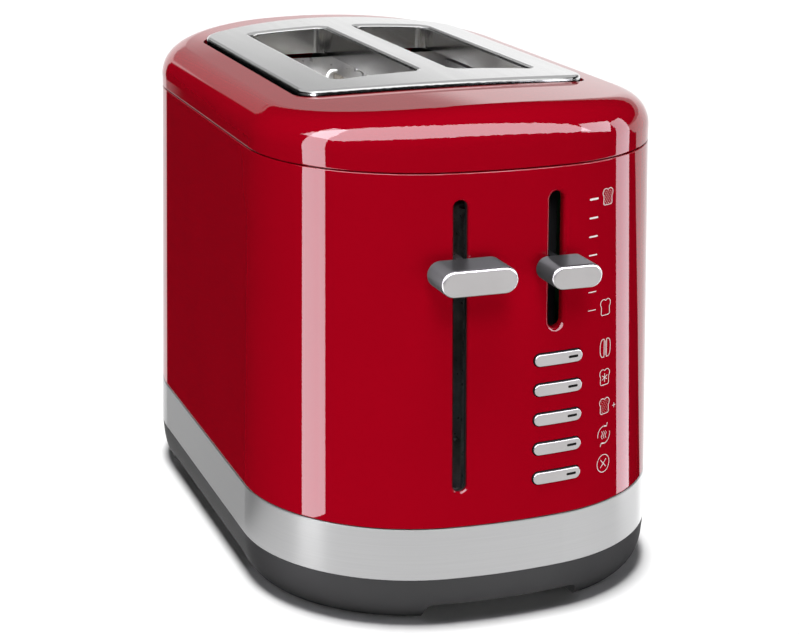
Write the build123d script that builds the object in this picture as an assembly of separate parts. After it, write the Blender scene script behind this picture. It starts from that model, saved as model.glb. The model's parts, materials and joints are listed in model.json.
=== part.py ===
from build123d import *
from math import asin, atan2, cos, degrees, radians, sin, sqrt, tan
import os

# Two-slot pop-up toaster, in millimetres. +Z is up and the lever end faces -Y.
# Pieces are modelled about the middle of the body and moved to the part's own frame when they are saved.

# Body outline in plan, at the parting line between the top cover and the wrap
BODY_HALF_WIDTH = 85.9
BODY_HALF_DEPTH = 141.6
CORNER_RADIUS = 69.6
END_RADIUS = 200.0
DRAFT_ANGLE = 1.54
WRAP_WALL = 1.5
COVER_WALL = 2.5
SHADOW_GAP = 0.4
FIT_GAP = 0.3
RIM_RADIUS = 0.5
SLIDE_GAP = 0.05

# Heights above the table
PAD_DROP = 1.0
ARCH_HEIGHT = 7.5
FLOOR_TOP = 9.3
BAND_BOTTOM = 19.0
BAND_TOP = 41.0
COVER_HEIGHT = 23.6

# Top cover and plate
CROWN_RADIUS = 510.0
SHOULDER_RADIUS = 13.5
TONGUE_DEPTH = 6.0
TONGUE_WALL = 1.6
PLATE_HALF_WIDTH = 63.2
PLATE_HALF_LENGTH = 96.5
PLATE_END_RADIUS = 130.0
PLATE_CORNER_RADIUS = 14.0
PLATE_PROUD = 2.3
PLATE_SHEET = 2.0
PLATE_EDGE_RADIUS = 1.6
PLATE_GROOVE = 1.6
PLATE_SINK = 10.6
PLATE_SEAT_WIDTH = 5.0
PLATE_SEAT_THICKNESS = 2.0

# Bread slots and the toasting chamber below them
SLOT_LENGTH = 134.5
SLOT_WIDTH = 37.8
SLOT_SPACING = 52.0
SLOT_MIDDLE_Y = 8.25
SLOT_CORNER_RADIUS = 5.0
CHAMBER_END_GAP = 4.5
CHASSIS_SHEET = 1.0
CHASSIS_HALF_WIDTH = 66.0
CHASSIS_BOTTOM = 22.0
CHASSIS_CLEARANCE = 3.0
CHASSIS_LEG_WIDTH = 9.0
CHASSIS_FOOT_LENGTH = 11.0
REFLECTOR_X = 57.5
REFLECTOR_BOTTOM = 26.0
REFLECTOR_DROP = 4.0
REFLECTOR_LIP = 4.0
HEATER_BOTTOM = 52.0
HEATER_DROP = 8.0
HEATER_SHEET = 1.0
HEATER_NOTCH = 3.0
HEATER_NOTCH_PITCH = 9.0
BLOCK_WIDTH = 16.0
BLOCK_DEPTH = 12.0
BLOCK_HEIGHT = 34.0
BLOCK_RISE = 1.0
BLOCK_CORNER = 4.0

# Bread guides: wire frames that lean in on the bread as the racks go down
GUIDE_OFFSET = 17.0
GUIDE_PIVOT_HEIGHT = 48.0
GUIDE_DROP = 4.0
GUIDE_WIRE = 1.8
GUIDE_ROD = 2.4
GUIDE_WIRES = 5
GUIDE_WIRE_PITCH = 27.0
GUIDE_HOOK = 4.5
GUIDE_BEND = 2.6
GUIDE_RAIL_DROP = 16.0
GUIDE_ROD_OVERHANG = 2.5

# Carriage, racks and the lever
LEVER_X = -20.5
LEVER_RISE = 20.0
LEVER_ARM_WIDTH = 3.0
LEVER_ARM_HEIGHT = 8.0
LEVER_SLOT_WIDTH = 6.0
LEVER_SLOT_FROM_BAND = 15.2
LEVER_SLOT_FROM_PARTING = 11.05
LEVER_SLOT_ABOVE = 7.35
LEVER_SLOT_BELOW = 7.2
LEVER_SLOT_BEVEL = 0.6
LEVER_KNOB_LENGTH = 31.3
LEVER_KNOB_HEIGHT = 10.7
LEVER_KNOB_REACH = 21.0
LEVER_KNOB_DEPTH = 16.8
KNOB_EDGE_RADIUS = 1.2
KNOB_SOCKET_DEPTH = 8.0
RACK_BELOW_LEVER = 15.6
RACK_WIDTH = 18.0
RACK_SHEET = 1.2
RACK_END_GAP = 6.0
RACK_RIBS = 7
RACK_RIB_HEIGHT = 6.0
RACK_RIB_DIP = 2.5
RACK_ARM_WIDTH = 1.6
RACK_ARM_HEIGHT = 12.0
RACK_SLOT_GAP = 1.0
RACK_TAIL = 5.0
CARRIAGE_GAP = 8.0
CARRIAGE_SHEET = 2.0
CARRIAGE_HALF_WIDTH = 33.0
CARRIAGE_HEIGHT = 30.0
CARRIAGE_DROP = 6.0
ROD_DIAMETER = 6.0
ROD_SPACING = 18.0
ROD_FROM_CARRIAGE = 5.0
BUSH_WALL = 2.2
FLANGE_DEPTH = 30.0
FLANGE_BOTTOM = 25.0
FLANGE_DROP = 2.0
FLANGE_HALF_WIDTH = 38.0
SPRING_X = 28.0
SPRING_RADIUS = 3.4
SPRING_WIRE = 0.9
SPRING_TURNS = 9
SPRING_TAB_WIDTH = 10.0
ARMATURE_X = 24.0
ARMATURE_WIDTH = 15.0
ARMATURE_SHEET = 2.0
ARMATURE_REACH = 15.0
MAGNET_GAP = 0.6
CORE_RADIUS = 3.2
COIL_RADIUS = 6.8
COIL_FLANGE = 1.2
COIL_FLANGE_RADIUS = 8.0

# Controls on the front wall
BROWNING_X = 20.3
BROWNING_TRAVEL = 21.0
BROWNING_SLOT_WIDTH = 6.5
BROWNING_SLOT_ABOVE = 8.35
BROWNING_SLOT_BELOW = 5.2
BROWNING_SLOT_FROM_PARTING = 10.55
BROWNING_FLANGE_DEPTH = 4.2
BROWNING_EDGE_RADIUS = 2.0
BROWNING_KNOB_LENGTH = 21.1
BROWNING_KNOB_HEIGHT = 9.6
BROWNING_KNOB_REACH = 20.4
BROWNING_KNOB_DEPTH = 16.5
BROWNING_STEM_WIDTH = 3.0
BROWNING_STEM_HEIGHT = 6.0
BUTTON_X = 21.75
BUTTON_FROM_BAND = 17.3
BUTTON_FROM_SLOT = 12.5
BUTTON_PITCH = 12.47
BUTTON_LENGTH = 21.9
BUTTON_HEIGHT = 5.0
BUTTON_GAP = 0.45
BUTTON_PROUD = 1.2
BUTTON_TRAVEL = 1.5
BUTTON_FLANGE = 1.2
BUTTON_FLANGE_THICKNESS = 1.4
BUTTON_STEM_RADIUS = 1.6
BUTTON_EDGE = 0.4
LENS_LENGTH = 4.6
LENS_HEIGHT = 1.1
LENS_DEPTH = 0.6
LENS_INSET = 4.4
CARRIER_WALL = 2.0
CARRIER_HALF_WIDTH = 50.0
CARRIER_FROM_BAND = 8.0
BOARD_DEPTH = 21.0
BOARD_SHEET = 1.6
BOARD_LEFT = 2.0
BOARD_RIGHT = 46.0
BOARD_EDGE = 2.0
POST_RADIUS = 3.0
POST_INSET = 4.4
SWITCH_SIZE = 6.0
SWITCH_DEPTH = 4.0
PLUNGER_LENGTH = 1.2
POT_WIDTH = 11.0
POT_DEPTH = 8.0
POT_MARGIN = 6.0
POT_SLOT_DEPTH = 5.0

# Base, crumb tray and what is fixed to them
FOOT_INSET = 6.0
FOOT_WAIST_HEIGHT = 7.0
FOOT_WAIST_INSET = 1.7
SKIRT_HEIGHT = 13.0
SKIRT_INSET = 0.5
BAND_WALL = 1.0
BAND_BEVEL = 0.4
BASE_WALL = 2.5
UPSTAND_WALL = 2.5
UPSTAND_LAP = 6.0
ARCH_HALF_WIDTH = 34.0
ARCH_HALF_LENGTH = 66.0
ARCH_CORNER = 4.0
TRAY_HALF_WIDTH = 52.0
TRAY_HEIGHT = 7.0
TRAY_SHEET = 0.8
TRAY_FRONT_Y = -56.0
TRAY_OPENING_TOP = 17.2
TRAY_RAIL_WALL = 2.0
TRAY_RAIL_HEIGHT = 6.0
HANDLE_DEPTH = 10.0
HANDLE_GRIP_RADIUS = 5.0
VENT_LENGTH = 56.0
VENT_WIDTH = 3.0
VENT_PITCH = 9.0
VENTS = 9
PAD_RADIUS = 7.0
PAD_RECESS = 1.2
PAD_X = 56.0
PAD_Y = 98.0
SCREW_HEAD_RADIUS = 3.2
SCREW_HEAD_HEIGHT = 2.0
SCREW_SHANK_RADIUS = 1.5
GLAND_X = 66.0
GLAND_RADIUS = 3.8
GLAND_BORE = 3.0
GLAND_FLANGE_RADIUS = 4.5
GLAND_FLANGE = 1.6
GLAND_REACH = 7.0

# Heights worked out upwards from the band: what stands on the front wall sets how tall the wall is
BUTTON_NAMES = ("bagel", "frozen", "extra", "reheat", "cancel")
BUTTON_TOP_HEIGHT = BAND_TOP + BUTTON_FROM_BAND + (len(BUTTON_NAMES) - 1) * BUTTON_PITCH
BROWNING_SLOT_BOTTOM = BUTTON_TOP_HEIGHT + BUTTON_FROM_SLOT
BROWNING_HEIGHT = BROWNING_SLOT_BOTTOM + BROWNING_SLOT_BELOW + BROWNING_TRAVEL
BROWNING_SLOT_TOP = BROWNING_HEIGHT + BROWNING_TRAVEL + BROWNING_SLOT_ABOVE
PARTING_HEIGHT = BROWNING_SLOT_TOP + BROWNING_SLOT_FROM_PARTING
CROWN_HEIGHT = PARTING_HEIGHT + COVER_HEIGHT
PLATE_SEAT_HEIGHT = CROWN_HEIGHT - PLATE_SINK
CHASSIS_TOP = PLATE_SEAT_HEIGHT - CHASSIS_CLEARANCE
REFLECTOR_TOP = CHASSIS_TOP - REFLECTOR_DROP
HEATER_TOP = CHASSIS_TOP - HEATER_DROP
BLOCK_TOP = CHASSIS_TOP + BLOCK_RISE
GUIDE_TOP = CHASSIS_TOP - GUIDE_DROP
FLANGE_TOP = CHASSIS_TOP - FLANGE_DROP
LEVER_SLOT_BOTTOM = BAND_TOP + LEVER_SLOT_FROM_BAND
LEVER_SLOT_TOP = PARTING_HEIGHT - LEVER_SLOT_FROM_PARTING
LEVER_HEIGHT = LEVER_SLOT_TOP - LEVER_SLOT_ABOVE - LEVER_RISE
LEVER_FALL = LEVER_HEIGHT - LEVER_SLOT_BELOW - LEVER_SLOT_BOTTOM
RACK_HEIGHT = LEVER_HEIGHT - RACK_BELOW_LEVER
CARRIER_BOTTOM = BAND_TOP + CARRIER_FROM_BAND
CARRIER_TOP = PARTING_HEIGHT - TONGUE_DEPTH - FIT_GAP

# Places along and across the body
LEVER_KNOB_FRONT = BODY_HALF_DEPTH + LEVER_KNOB_REACH
BROWNING_KNOB_FRONT = BODY_HALF_DEPTH + BROWNING_KNOB_REACH
BOARD_FRONT = BODY_HALF_DEPTH - BOARD_DEPTH
CHAMBER_FRONT = SLOT_MIDDLE_Y - SLOT_LENGTH / 2 - CHAMBER_END_GAP
CHAMBER_REAR = SLOT_MIDDLE_Y + SLOT_LENGTH / 2 + CHAMBER_END_GAP
CARRIAGE_BACK = CHAMBER_FRONT - CARRIAGE_GAP
CARRIAGE_FRONT = CARRIAGE_BACK - CARRIAGE_SHEET
CARRIAGE_BOTTOM = RACK_HEIGHT - CARRIAGE_DROP
CARRIAGE_TOP = CARRIAGE_BOTTOM + CARRIAGE_HEIGHT
ROD_Y = CARRIAGE_FRONT - ROD_FROM_CARRIAGE
SLOT_CENTRES = (-SLOT_SPACING / 2, SLOT_SPACING / 2)
HEATER_CENTRES = (-SLOT_SPACING, 0.0, SLOT_SPACING)


def draft_offset(height):
    """How far the drafted wall stands out from the parting-line outline at a height."""
    return (PARTING_HEIGHT - height) * tan(radians(DRAFT_ANGLE))


REAR_REACH = BODY_HALF_DEPTH + draft_offset(BAND_BOTTOM)
BODY_SHIFT = (LEVER_KNOB_FRONT - REAR_REACH) / 2


def rounded_outline(half_width, half_depth, corner, end):
    """Face with straight sides, tangent corner arcs and bowed ends."""
    corner_x = half_width - corner
    end_y = end - half_depth
    span = end - corner
    corner_y = sqrt(span**2 - corner_x**2) - end_y
    join_x = corner_x / span * end
    join_y = (corner_y + end_y) / span * end - end_y
    middle = atan2(corner_y + end_y, corner_x) / 2
    middle_x = corner_x + corner * cos(middle)
    middle_y = corner_y + corner * sin(middle)
    edges = [
        ThreePointArc((-join_x, -join_y), (0, -half_depth), (join_x, -join_y)),
        ThreePointArc((join_x, -join_y), (middle_x, -middle_y), (half_width, -corner_y)),
        Line((half_width, -corner_y), (half_width, corner_y)),
        ThreePointArc((half_width, corner_y), (middle_x, middle_y), (join_x, join_y)),
        ThreePointArc((join_x, join_y), (0, half_depth), (-join_x, join_y)),
        ThreePointArc((-join_x, join_y), (-middle_x, middle_y), (-half_width, corner_y)),
        Line((-half_width, corner_y), (-half_width, -corner_y)),
        ThreePointArc((-half_width, -corner_y), (-middle_x, -middle_y), (-join_x, -join_y)),
    ]
    return make_face(edges)


def body_face(offset, height):
    """The body's plan outline, grown by an offset, at a height."""
    face = rounded_outline(
        BODY_HALF_WIDTH + offset, BODY_HALF_DEPTH + offset, CORNER_RADIUS + offset, END_RADIUS + offset
    )
    return Pos(0, 0, height) * face


def drafted_body(inset, low, high):
    """Solid between two heights, an inset inside the drafted outer wall."""
    faces = [body_face(draft_offset(height) - inset, height) for height in (low, high)]
    return loft(faces, ruled=True)


def upright_body(offset, low, high):
    """Solid of the body outline with upright walls."""
    return extrude(body_face(offset, low), high - low)


def upright_plate(offset, low, high):
    """Solid of the top plate's outline, grown by an offset, with upright walls."""
    face = rounded_outline(
        PLATE_HALF_WIDTH + offset,
        PLATE_HALF_LENGTH + offset,
        PLATE_CORNER_RADIUS + offset,
        PLATE_END_RADIUS + offset,
    )
    return extrude(Pos(0, SLOT_MIDDLE_Y, low) * face, high - low)


def crown(height):
    """Solid whose top is arched across the body, highest over the middle."""
    half_width = BODY_HALF_WIDTH + CORNER_RADIUS / 2
    edge = height - CROWN_RADIUS + sqrt(CROWN_RADIUS**2 - half_width**2)
    bottom = PARTING_HEIGHT - 2 * SHOULDER_RADIUS
    left = (-half_width, edge)
    right = (half_width, edge)
    sides = Polyline(right, (half_width, bottom), (-half_width, bottom), left)
    profile = make_face([ThreePointArc(left, (0, height), right), sides])
    return extrude(Plane.XZ * profile, 2 * BODY_HALF_DEPTH, both=True)


def box(x_range, y_range, z_range):
    """Block between two corners."""
    sizes = [high - low for low, high in (x_range, y_range, z_range)]
    middle = [(high + low) / 2 for low, high in (x_range, y_range, z_range)]
    return Pos(*middle) * Box(*sizes)


def post(x, y, radius, z_range):
    """Upright cylinder."""
    return Pos(x, y, (z_range[0] + z_range[1]) / 2) * Cylinder(radius, z_range[1] - z_range[0])


def bar(x, z, radius, y_range):
    """Cylinder that lies along Y."""
    rod = Cylinder(radius, y_range[1] - y_range[0], rotation=(90, 0, 0))
    return Pos(x, (y_range[0] + y_range[1]) / 2, z) * rod


def pill(x, z, length, height, y_range):
    """Prism along Y with half-round ends, long along X or Z."""
    if length > height:
        face = SlotOverall(length, height)
    else:
        face = SlotOverall(height, length, rotation=90)
    plane = Plane((x, y_range[1], z), x_dir=(1, 0, 0), z_dir=(0, -1, 0))
    return extrude(plane * face, y_range[1] - y_range[0])


def corner_centre():
    """Centre of the corner arc that the body's outlines share at every height."""
    x = BODY_HALF_WIDTH - CORNER_RADIUS
    y = sqrt((END_RADIUS - CORNER_RADIUS) ** 2 - x**2) - END_RADIUS + BODY_HALF_DEPTH
    return x, y


def wall_y(x, inset, height):
    """Y of the drafted front wall at a place across it, on the end arc or on a corner arc."""
    offset = draft_offset(height) - inset
    corner_x, corner_y = corner_centre()
    join_x = corner_x / (END_RADIUS - CORNER_RADIUS) * (END_RADIUS + offset)
    if abs(x) > join_x:
        return -corner_y - sqrt((CORNER_RADIUS + offset) ** 2 - (abs(x) - corner_x) ** 2)
    return END_RADIUS - BODY_HALF_DEPTH - sqrt((END_RADIUS + offset) ** 2 - x**2)


def make_base_pan():
    """Moulded pan: feet with arches between them, a skirt, a register for the wrap and tray rails."""
    shape = base_skirt()
    register = draft_offset(BAND_TOP + UPSTAND_LAP) - WRAP_WALL - FIT_GAP
    shape -= upright_body(base_inside(), FLOOR_TOP, BAND_BOTTOM)
    shape += upright_body(register, BAND_BOTTOM, BAND_TOP + UPSTAND_LAP) - upright_body(
        register - UPSTAND_WALL, BAND_BOTTOM, BAND_TOP + UPSTAND_LAP
    )
    far = BODY_HALF_DEPTH + BODY_HALF_WIDTH
    arch_profile = RectangleRounded(2 * ARCH_HALF_WIDTH, 2 * ARCH_HEIGHT, ARCH_CORNER)
    side_profile = RectangleRounded(2 * ARCH_HALF_LENGTH, 2 * ARCH_HEIGHT, ARCH_CORNER)
    shape -= extrude(Plane.XZ * arch_profile, far, both=True)
    shape -= extrude(Plane.YZ * side_profile, far, both=True)
    opening = TRAY_HALF_WIDTH + 2 * FIT_GAP
    shape -= box((-opening, opening), (CHAMBER_REAR, far), (FLOOR_TOP, TRAY_OPENING_TOP))
    for side in (-1, 1):
        inner = side * opening
        outer = side * (opening + TRAY_RAIL_WALL)
        rail_x = (min(inner, outer), max(inner, outer))
        rail_z = (FLOOR_TOP - TRAY_SHEET, FLOOR_TOP + TRAY_RAIL_HEIGHT)
        shape += box(rail_x, (CHAMBER_FRONT, CHAMBER_REAR), rail_z)
    vent = extrude(SlotOverall(VENT_LENGTH, VENT_WIDTH), BASE_WALL, both=True)
    for index in range(VENTS):
        vent_y = (index - (VENTS - 1) / 2) * VENT_PITCH + SLOT_MIDDLE_Y
        shape -= Pos(0, vent_y, ARCH_HEIGHT) * vent
    for x, y in foot_places():
        shape -= post(x, y, PAD_RADIUS, (0, PAD_DROP + PAD_RECESS))
    for x, y in screw_places():
        shape -= post(x, y, SCREW_SHANK_RADIUS, (0, FLOOR_TOP))
    shape -= gland_place() * Cylinder(GLAND_RADIUS + SLIDE_GAP, 4 * GLAND_REACH)
    spot_face = Cylinder(GLAND_FLANGE_RADIUS + FIT_GAP, 2 * GLAND_REACH)
    return shape - gland_place() * Pos(0, 0, GLAND_REACH) * spot_face


def foot_places():
    """Centres of the four rubber pads."""
    return [(x, y) for x in (-PAD_X, PAD_X) for y in (-PAD_Y, PAD_Y)]


def screw_places():
    """Centres of the screws through the chassis plates' feet."""
    x = CHASSIS_HALF_WIDTH - CHASSIS_LEG_WIDTH / 2
    middle = CHASSIS_SHEET + (CHASSIS_FOOT_LENGTH - CHASSIS_SHEET) / 2
    return [(side * x, y) for side in (-1, 1) for y in (CHAMBER_FRONT - middle, CHAMBER_REAR + middle)]


def gland_place():
    """Frame of the cord gland: Z points out of the rear corner of the base, square to its wall."""
    corner_x, corner_y = corner_centre()
    radius = CORNER_RADIUS + draft_offset(BAND_BOTTOM) - SKIRT_INSET
    angle = degrees(asin((GLAND_X - corner_x) / radius))
    height = (FLOOR_TOP + BAND_BOTTOM) / 2
    outward = Rot(0, 0, -angle) * Rot(-90, 0, 0)
    return Pos(corner_x, corner_y, height) * outward * Pos(0, 0, radius)


def make_cord_gland():
    """Bush in the rear of the base that a mains lead would pass through."""
    shape = Cylinder(GLAND_RADIUS, 2 * GLAND_REACH)
    shape += Pos(0, 0, GLAND_FLANGE) * Cylinder(GLAND_FLANGE_RADIUS, 2 * GLAND_FLANGE)
    shape -= Cylinder(GLAND_BORE, 4 * GLAND_REACH)
    return gland_place() * shape


def make_trim_band():
    """Steel ring between the base and the wrap, flush with the wrap, with eased edges."""
    shape = drafted_body(0, BAND_BOTTOM, BAND_TOP)
    rims = shape.faces().filter_by(Axis.Z).edges()
    shape = chamfer(rims, BAND_BEVEL)
    return shape - drafted_body(BAND_WALL, BAND_BOTTOM, BAND_TOP)


def lever_slot_prism():
    """Pill-shaped prism of the lever slot."""
    middle = (LEVER_SLOT_BOTTOM + LEVER_SLOT_TOP) / 2
    length = LEVER_SLOT_TOP - LEVER_SLOT_BOTTOM
    return pill(LEVER_X, middle, LEVER_SLOT_WIDTH, length, (-2 * BODY_HALF_DEPTH, 0))


def browning_slot_prism(growth):
    """Pill-shaped prism of the browning slot, grown by a wall or a gap."""
    middle = (BROWNING_SLOT_BOTTOM + BROWNING_SLOT_TOP) / 2
    length = BROWNING_SLOT_TOP - BROWNING_SLOT_BOTTOM + 2 * growth
    return pill(BROWNING_X, middle, BROWNING_SLOT_WIDTH + 2 * growth, length, (-2 * BODY_HALF_DEPTH, 0))


def outer_rim(shape, x, low, high):
    """Edges of one opening that lie on the outer skin of the front wall."""
    rim = []
    for edge in shape.edges():
        place = edge.position_at(0.5)
        on_skin = abs(place.Y - wall_y(place.X, 0, place.Z)) < SLIDE_GAP
        if on_skin and abs(place.X - x) < BUTTON_LENGTH / 2 and low < place.Z < high:
            rim.append(edge)
    return rim


def make_body_wrap():
    """Enamelled wall with the lever slot, the flanged browning slot and the button holes."""
    low = BAND_TOP + SHADOW_GAP
    high = PARTING_HEIGHT - SHADOW_GAP
    outer = drafted_body(0, low, high)
    outer = fillet(outer.faces().filter_by(Axis.Z).edges(), RIM_RADIUS)
    shape = outer - drafted_body(WRAP_WALL, low, high)
    flange_zone = outer - drafted_body(BROWNING_FLANGE_DEPTH, low, high)
    shape += browning_slot_prism(WRAP_WALL) & flange_zone
    shape -= browning_slot_prism(0)
    margin = BROWNING_SLOT_WIDTH
    rim = outer_rim(shape, BROWNING_X, BROWNING_SLOT_BOTTOM - margin, BROWNING_SLOT_TOP + margin)
    shape = fillet(rim, BROWNING_EDGE_RADIUS)
    shape -= lever_slot_prism()
    rim = outer_rim(shape, LEVER_X, LEVER_SLOT_BOTTOM - margin, LEVER_SLOT_TOP + margin)
    shape = chamfer(rim, LEVER_SLOT_BEVEL)
    for height in button_heights():
        shape -= button_prism(height, BUTTON_GAP, (-2 * BODY_HALF_DEPTH, -BOARD_FRONT))
    return shape


def make_top_cover():
    """Enamelled cap: crowned top, round shoulder, a groove and a seat for the plate, a tongue below."""
    outer = upright_body(0, PARTING_HEIGHT, CROWN_HEIGHT + COVER_WALL) & crown(CROWN_HEIGHT)
    outer = fillet(outer.faces().sort_by(Axis.Z)[-1].edges(), SHOULDER_RADIUS)
    outer = fillet(outer.faces().sort_by(Axis.Z)[0].edges(), RIM_RADIUS)
    inner = upright_body(-COVER_WALL, PARTING_HEIGHT, CROWN_HEIGHT) & crown(CROWN_HEIGHT - COVER_WALL)
    inner = fillet(inner.faces().sort_by(Axis.Z)[-1].edges(), SHOULDER_RADIUS - COVER_WALL)
    seat_bottom = PLATE_SEAT_HEIGHT - PLATE_SEAT_THICKNESS
    collar = outer & upright_plate(PLATE_GROOVE + COVER_WALL, seat_bottom, CROWN_HEIGHT)
    shape = outer - inner + collar
    shape -= upright_plate(PLATE_GROOVE, PLATE_SEAT_HEIGHT, CROWN_HEIGHT + COVER_WALL)
    shape -= upright_plate(-PLATE_SEAT_WIDTH, seat_bottom, PLATE_SEAT_HEIGHT)
    lip = draft_offset(PARTING_HEIGHT) - WRAP_WALL - FIT_GAP
    low = PARTING_HEIGHT - TONGUE_DEPTH
    high = PARTING_HEIGHT + TONGUE_DEPTH
    tongue = upright_body(lip, low, high) - upright_body(lip - TONGUE_WALL, low, high)
    below = tongue - outer
    within = tongue & outer
    return shape + below + within


def slot_prism(centre, offset, low, high):
    """Prism of one bread slot, grown by an offset."""
    face = RectangleRounded(SLOT_WIDTH + 2 * offset, SLOT_LENGTH + 2 * offset, SLOT_CORNER_RADIUS + offset)
    return extrude(Pos(centre, SLOT_MIDDLE_Y, low) * face, high - low)


def make_top_plate():
    """Crowned plate with a turned-down rim and a turned-down collar round each bread slot."""
    top = CROWN_HEIGHT + PLATE_PROUD
    bottom = PLATE_SEAT_HEIGHT - PLATE_SHEET
    above = top + PLATE_SHEET
    shape = upright_plate(0, PLATE_SEAT_HEIGHT, above) & crown(top)
    shape = fillet(shape.faces().sort_by(Axis.Z)[-1].edges(), PLATE_EDGE_RADIUS)
    hollow = upright_plate(-PLATE_SHEET, PLATE_SEAT_HEIGHT, above) & crown(top - PLATE_SHEET)
    for centre in SLOT_CENTRES:
        shape -= slot_prism(centre, 0, bottom, above)
        rims = shape.faces().sort_by(Axis.Z)[-1].inner_wires().sort_by(Axis.X)
        rim = rims[-1] if centre > 0 else rims[0]
        shape = fillet(rim.edges(), PLATE_EDGE_RADIUS)
        hollow -= slot_prism(centre, PLATE_SHEET, bottom, above)
    return shape - hollow


def chassis_plate(inner_face, outward):
    """End wall of the chamber: rack slots, guide pivot holes and two feet on the base."""
    outer_face = inner_face + outward * CHASSIS_SHEET
    depth = (min(inner_face, outer_face), max(inner_face, outer_face))
    width = (-CHASSIS_HALF_WIDTH, CHASSIS_HALF_WIDTH)
    shape = box(width, depth, (CHASSIS_BOTTOM, CHASSIS_TOP))
    foot_end = inner_face + outward * CHASSIS_FOOT_LENGTH
    foot = (min(inner_face, foot_end), max(inner_face, foot_end))
    for side in (-1, 1):
        edges = sorted((side * CHASSIS_HALF_WIDTH, side * (CHASSIS_HALF_WIDTH - CHASSIS_LEG_WIDTH)))
        shape += box(edges, depth, (FLOOR_TOP, CHASSIS_BOTTOM))
        shape += box(edges, foot, (FLOOR_TOP, FLOOR_TOP + CHASSIS_SHEET))
    through = (inner_face - 2 * CHASSIS_SHEET, inner_face + 2 * CHASSIS_SHEET)
    slot_low = RACK_HEIGHT - LEVER_FALL - RACK_ARM_HEIGHT
    slot_high = RACK_HEIGHT + LEVER_RISE + RACK_ARM_HEIGHT
    slot_width = RACK_ARM_WIDTH + 2 * RACK_SLOT_GAP
    for centre in SLOT_CENTRES:
        shape -= pill(centre, (slot_low + slot_high) / 2, slot_width, slot_high - slot_low, through)
        for side in (-1, 1):
            shape -= bar(centre + side * GUIDE_OFFSET, GUIDE_PIVOT_HEIGHT, GUIDE_ROD / 2 + SLIDE_GAP, through)
    for x, y in screw_places():
        shape -= post(x, y, SCREW_SHANK_RADIUS, (0, CHASSIS_BOTTOM))
    return shape


def make_front_chassis():
    """Front end wall, with a top and a bottom shelf that hold the carriage rods."""
    shape = chassis_plate(CHAMBER_FRONT, -1)
    shelf_y = (CHAMBER_FRONT - FLANGE_DEPTH, CHAMBER_FRONT)
    shelf_x = (-FLANGE_HALF_WIDTH, FLANGE_HALF_WIDTH)
    for height in (FLANGE_BOTTOM - CHASSIS_SHEET, FLANGE_TOP):
        shape += box(shelf_x, shelf_y, (height, height + CHASSIS_SHEET))
    for x in rod_places():
        shape -= post(x, ROD_Y, ROD_DIAMETER / 2 + SLIDE_GAP, (CHASSIS_BOTTOM, CHASSIS_TOP))
    return shape


def rod_places():
    """X of the carriage's two guide rods."""
    return (-ROD_SPACING / 2, ROD_SPACING / 2)


def make_guide_rods():
    """Two upright rods that the carriage slides on."""
    ends = (FLANGE_BOTTOM - CHASSIS_SHEET, FLANGE_TOP + CHASSIS_SHEET)
    return [post(x, ROD_Y, ROD_DIAMETER / 2, ends) for x in rod_places()]


def make_reflector(side):
    """Bright sheet beside an outer heater card, lipped at top and bottom."""
    x = sorted((side * REFLECTOR_X, side * (REFLECTOR_X + CHASSIS_SHEET)))
    lip_x = sorted((side * REFLECTOR_X, side * (REFLECTOR_X + REFLECTOR_LIP)))
    depth = (CHAMBER_FRONT, CHAMBER_REAR)
    shape = box(x, depth, (REFLECTOR_BOTTOM, REFLECTOR_TOP))
    shape += box(lip_x, depth, (REFLECTOR_TOP - CHASSIS_SHEET, REFLECTOR_TOP))
    shape += box(lip_x, depth, (REFLECTOR_BOTTOM, REFLECTOR_BOTTOM + CHASSIS_SHEET))
    return shape


def make_heater_card(centre):
    """Mica board with notches along its upright edges that hold the heating ribbon."""
    depth = (CHAMBER_FRONT, CHAMBER_REAR)
    shape = box((centre - HEATER_SHEET / 2, centre + HEATER_SHEET / 2), depth, (HEATER_BOTTOM, HEATER_TOP))
    count = int((CHAMBER_REAR - CHAMBER_FRONT) / HEATER_NOTCH_PITCH) - 1
    notch = Cylinder(HEATER_NOTCH / 2, 3 * HEATER_SHEET, rotation=(0, 90, 0))
    middle = (CHAMBER_FRONT + CHAMBER_REAR) / 2
    for index in range(count):
        y = middle + (index - (count - 1) / 2) * HEATER_NOTCH_PITCH
        for height in (HEATER_BOTTOM, HEATER_TOP):
            shape -= Pos(centre, y, height) * notch
    return shape


def make_terminal_blocks():
    """Black moulded blocks behind the rear wall, one for each heater card."""
    face_y = CHAMBER_REAR + CHASSIS_SHEET
    blocks = []
    for centre in HEATER_CENTRES:
        block = box(
            (centre - BLOCK_WIDTH / 2, centre + BLOCK_WIDTH / 2),
            (face_y, face_y + BLOCK_DEPTH),
            (BLOCK_TOP - BLOCK_HEIGHT, BLOCK_TOP),
        )
        corners = block.edges().filter_by(Axis.Y)
        blocks.append(fillet(corners, BLOCK_CORNER))
    return blocks


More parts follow.
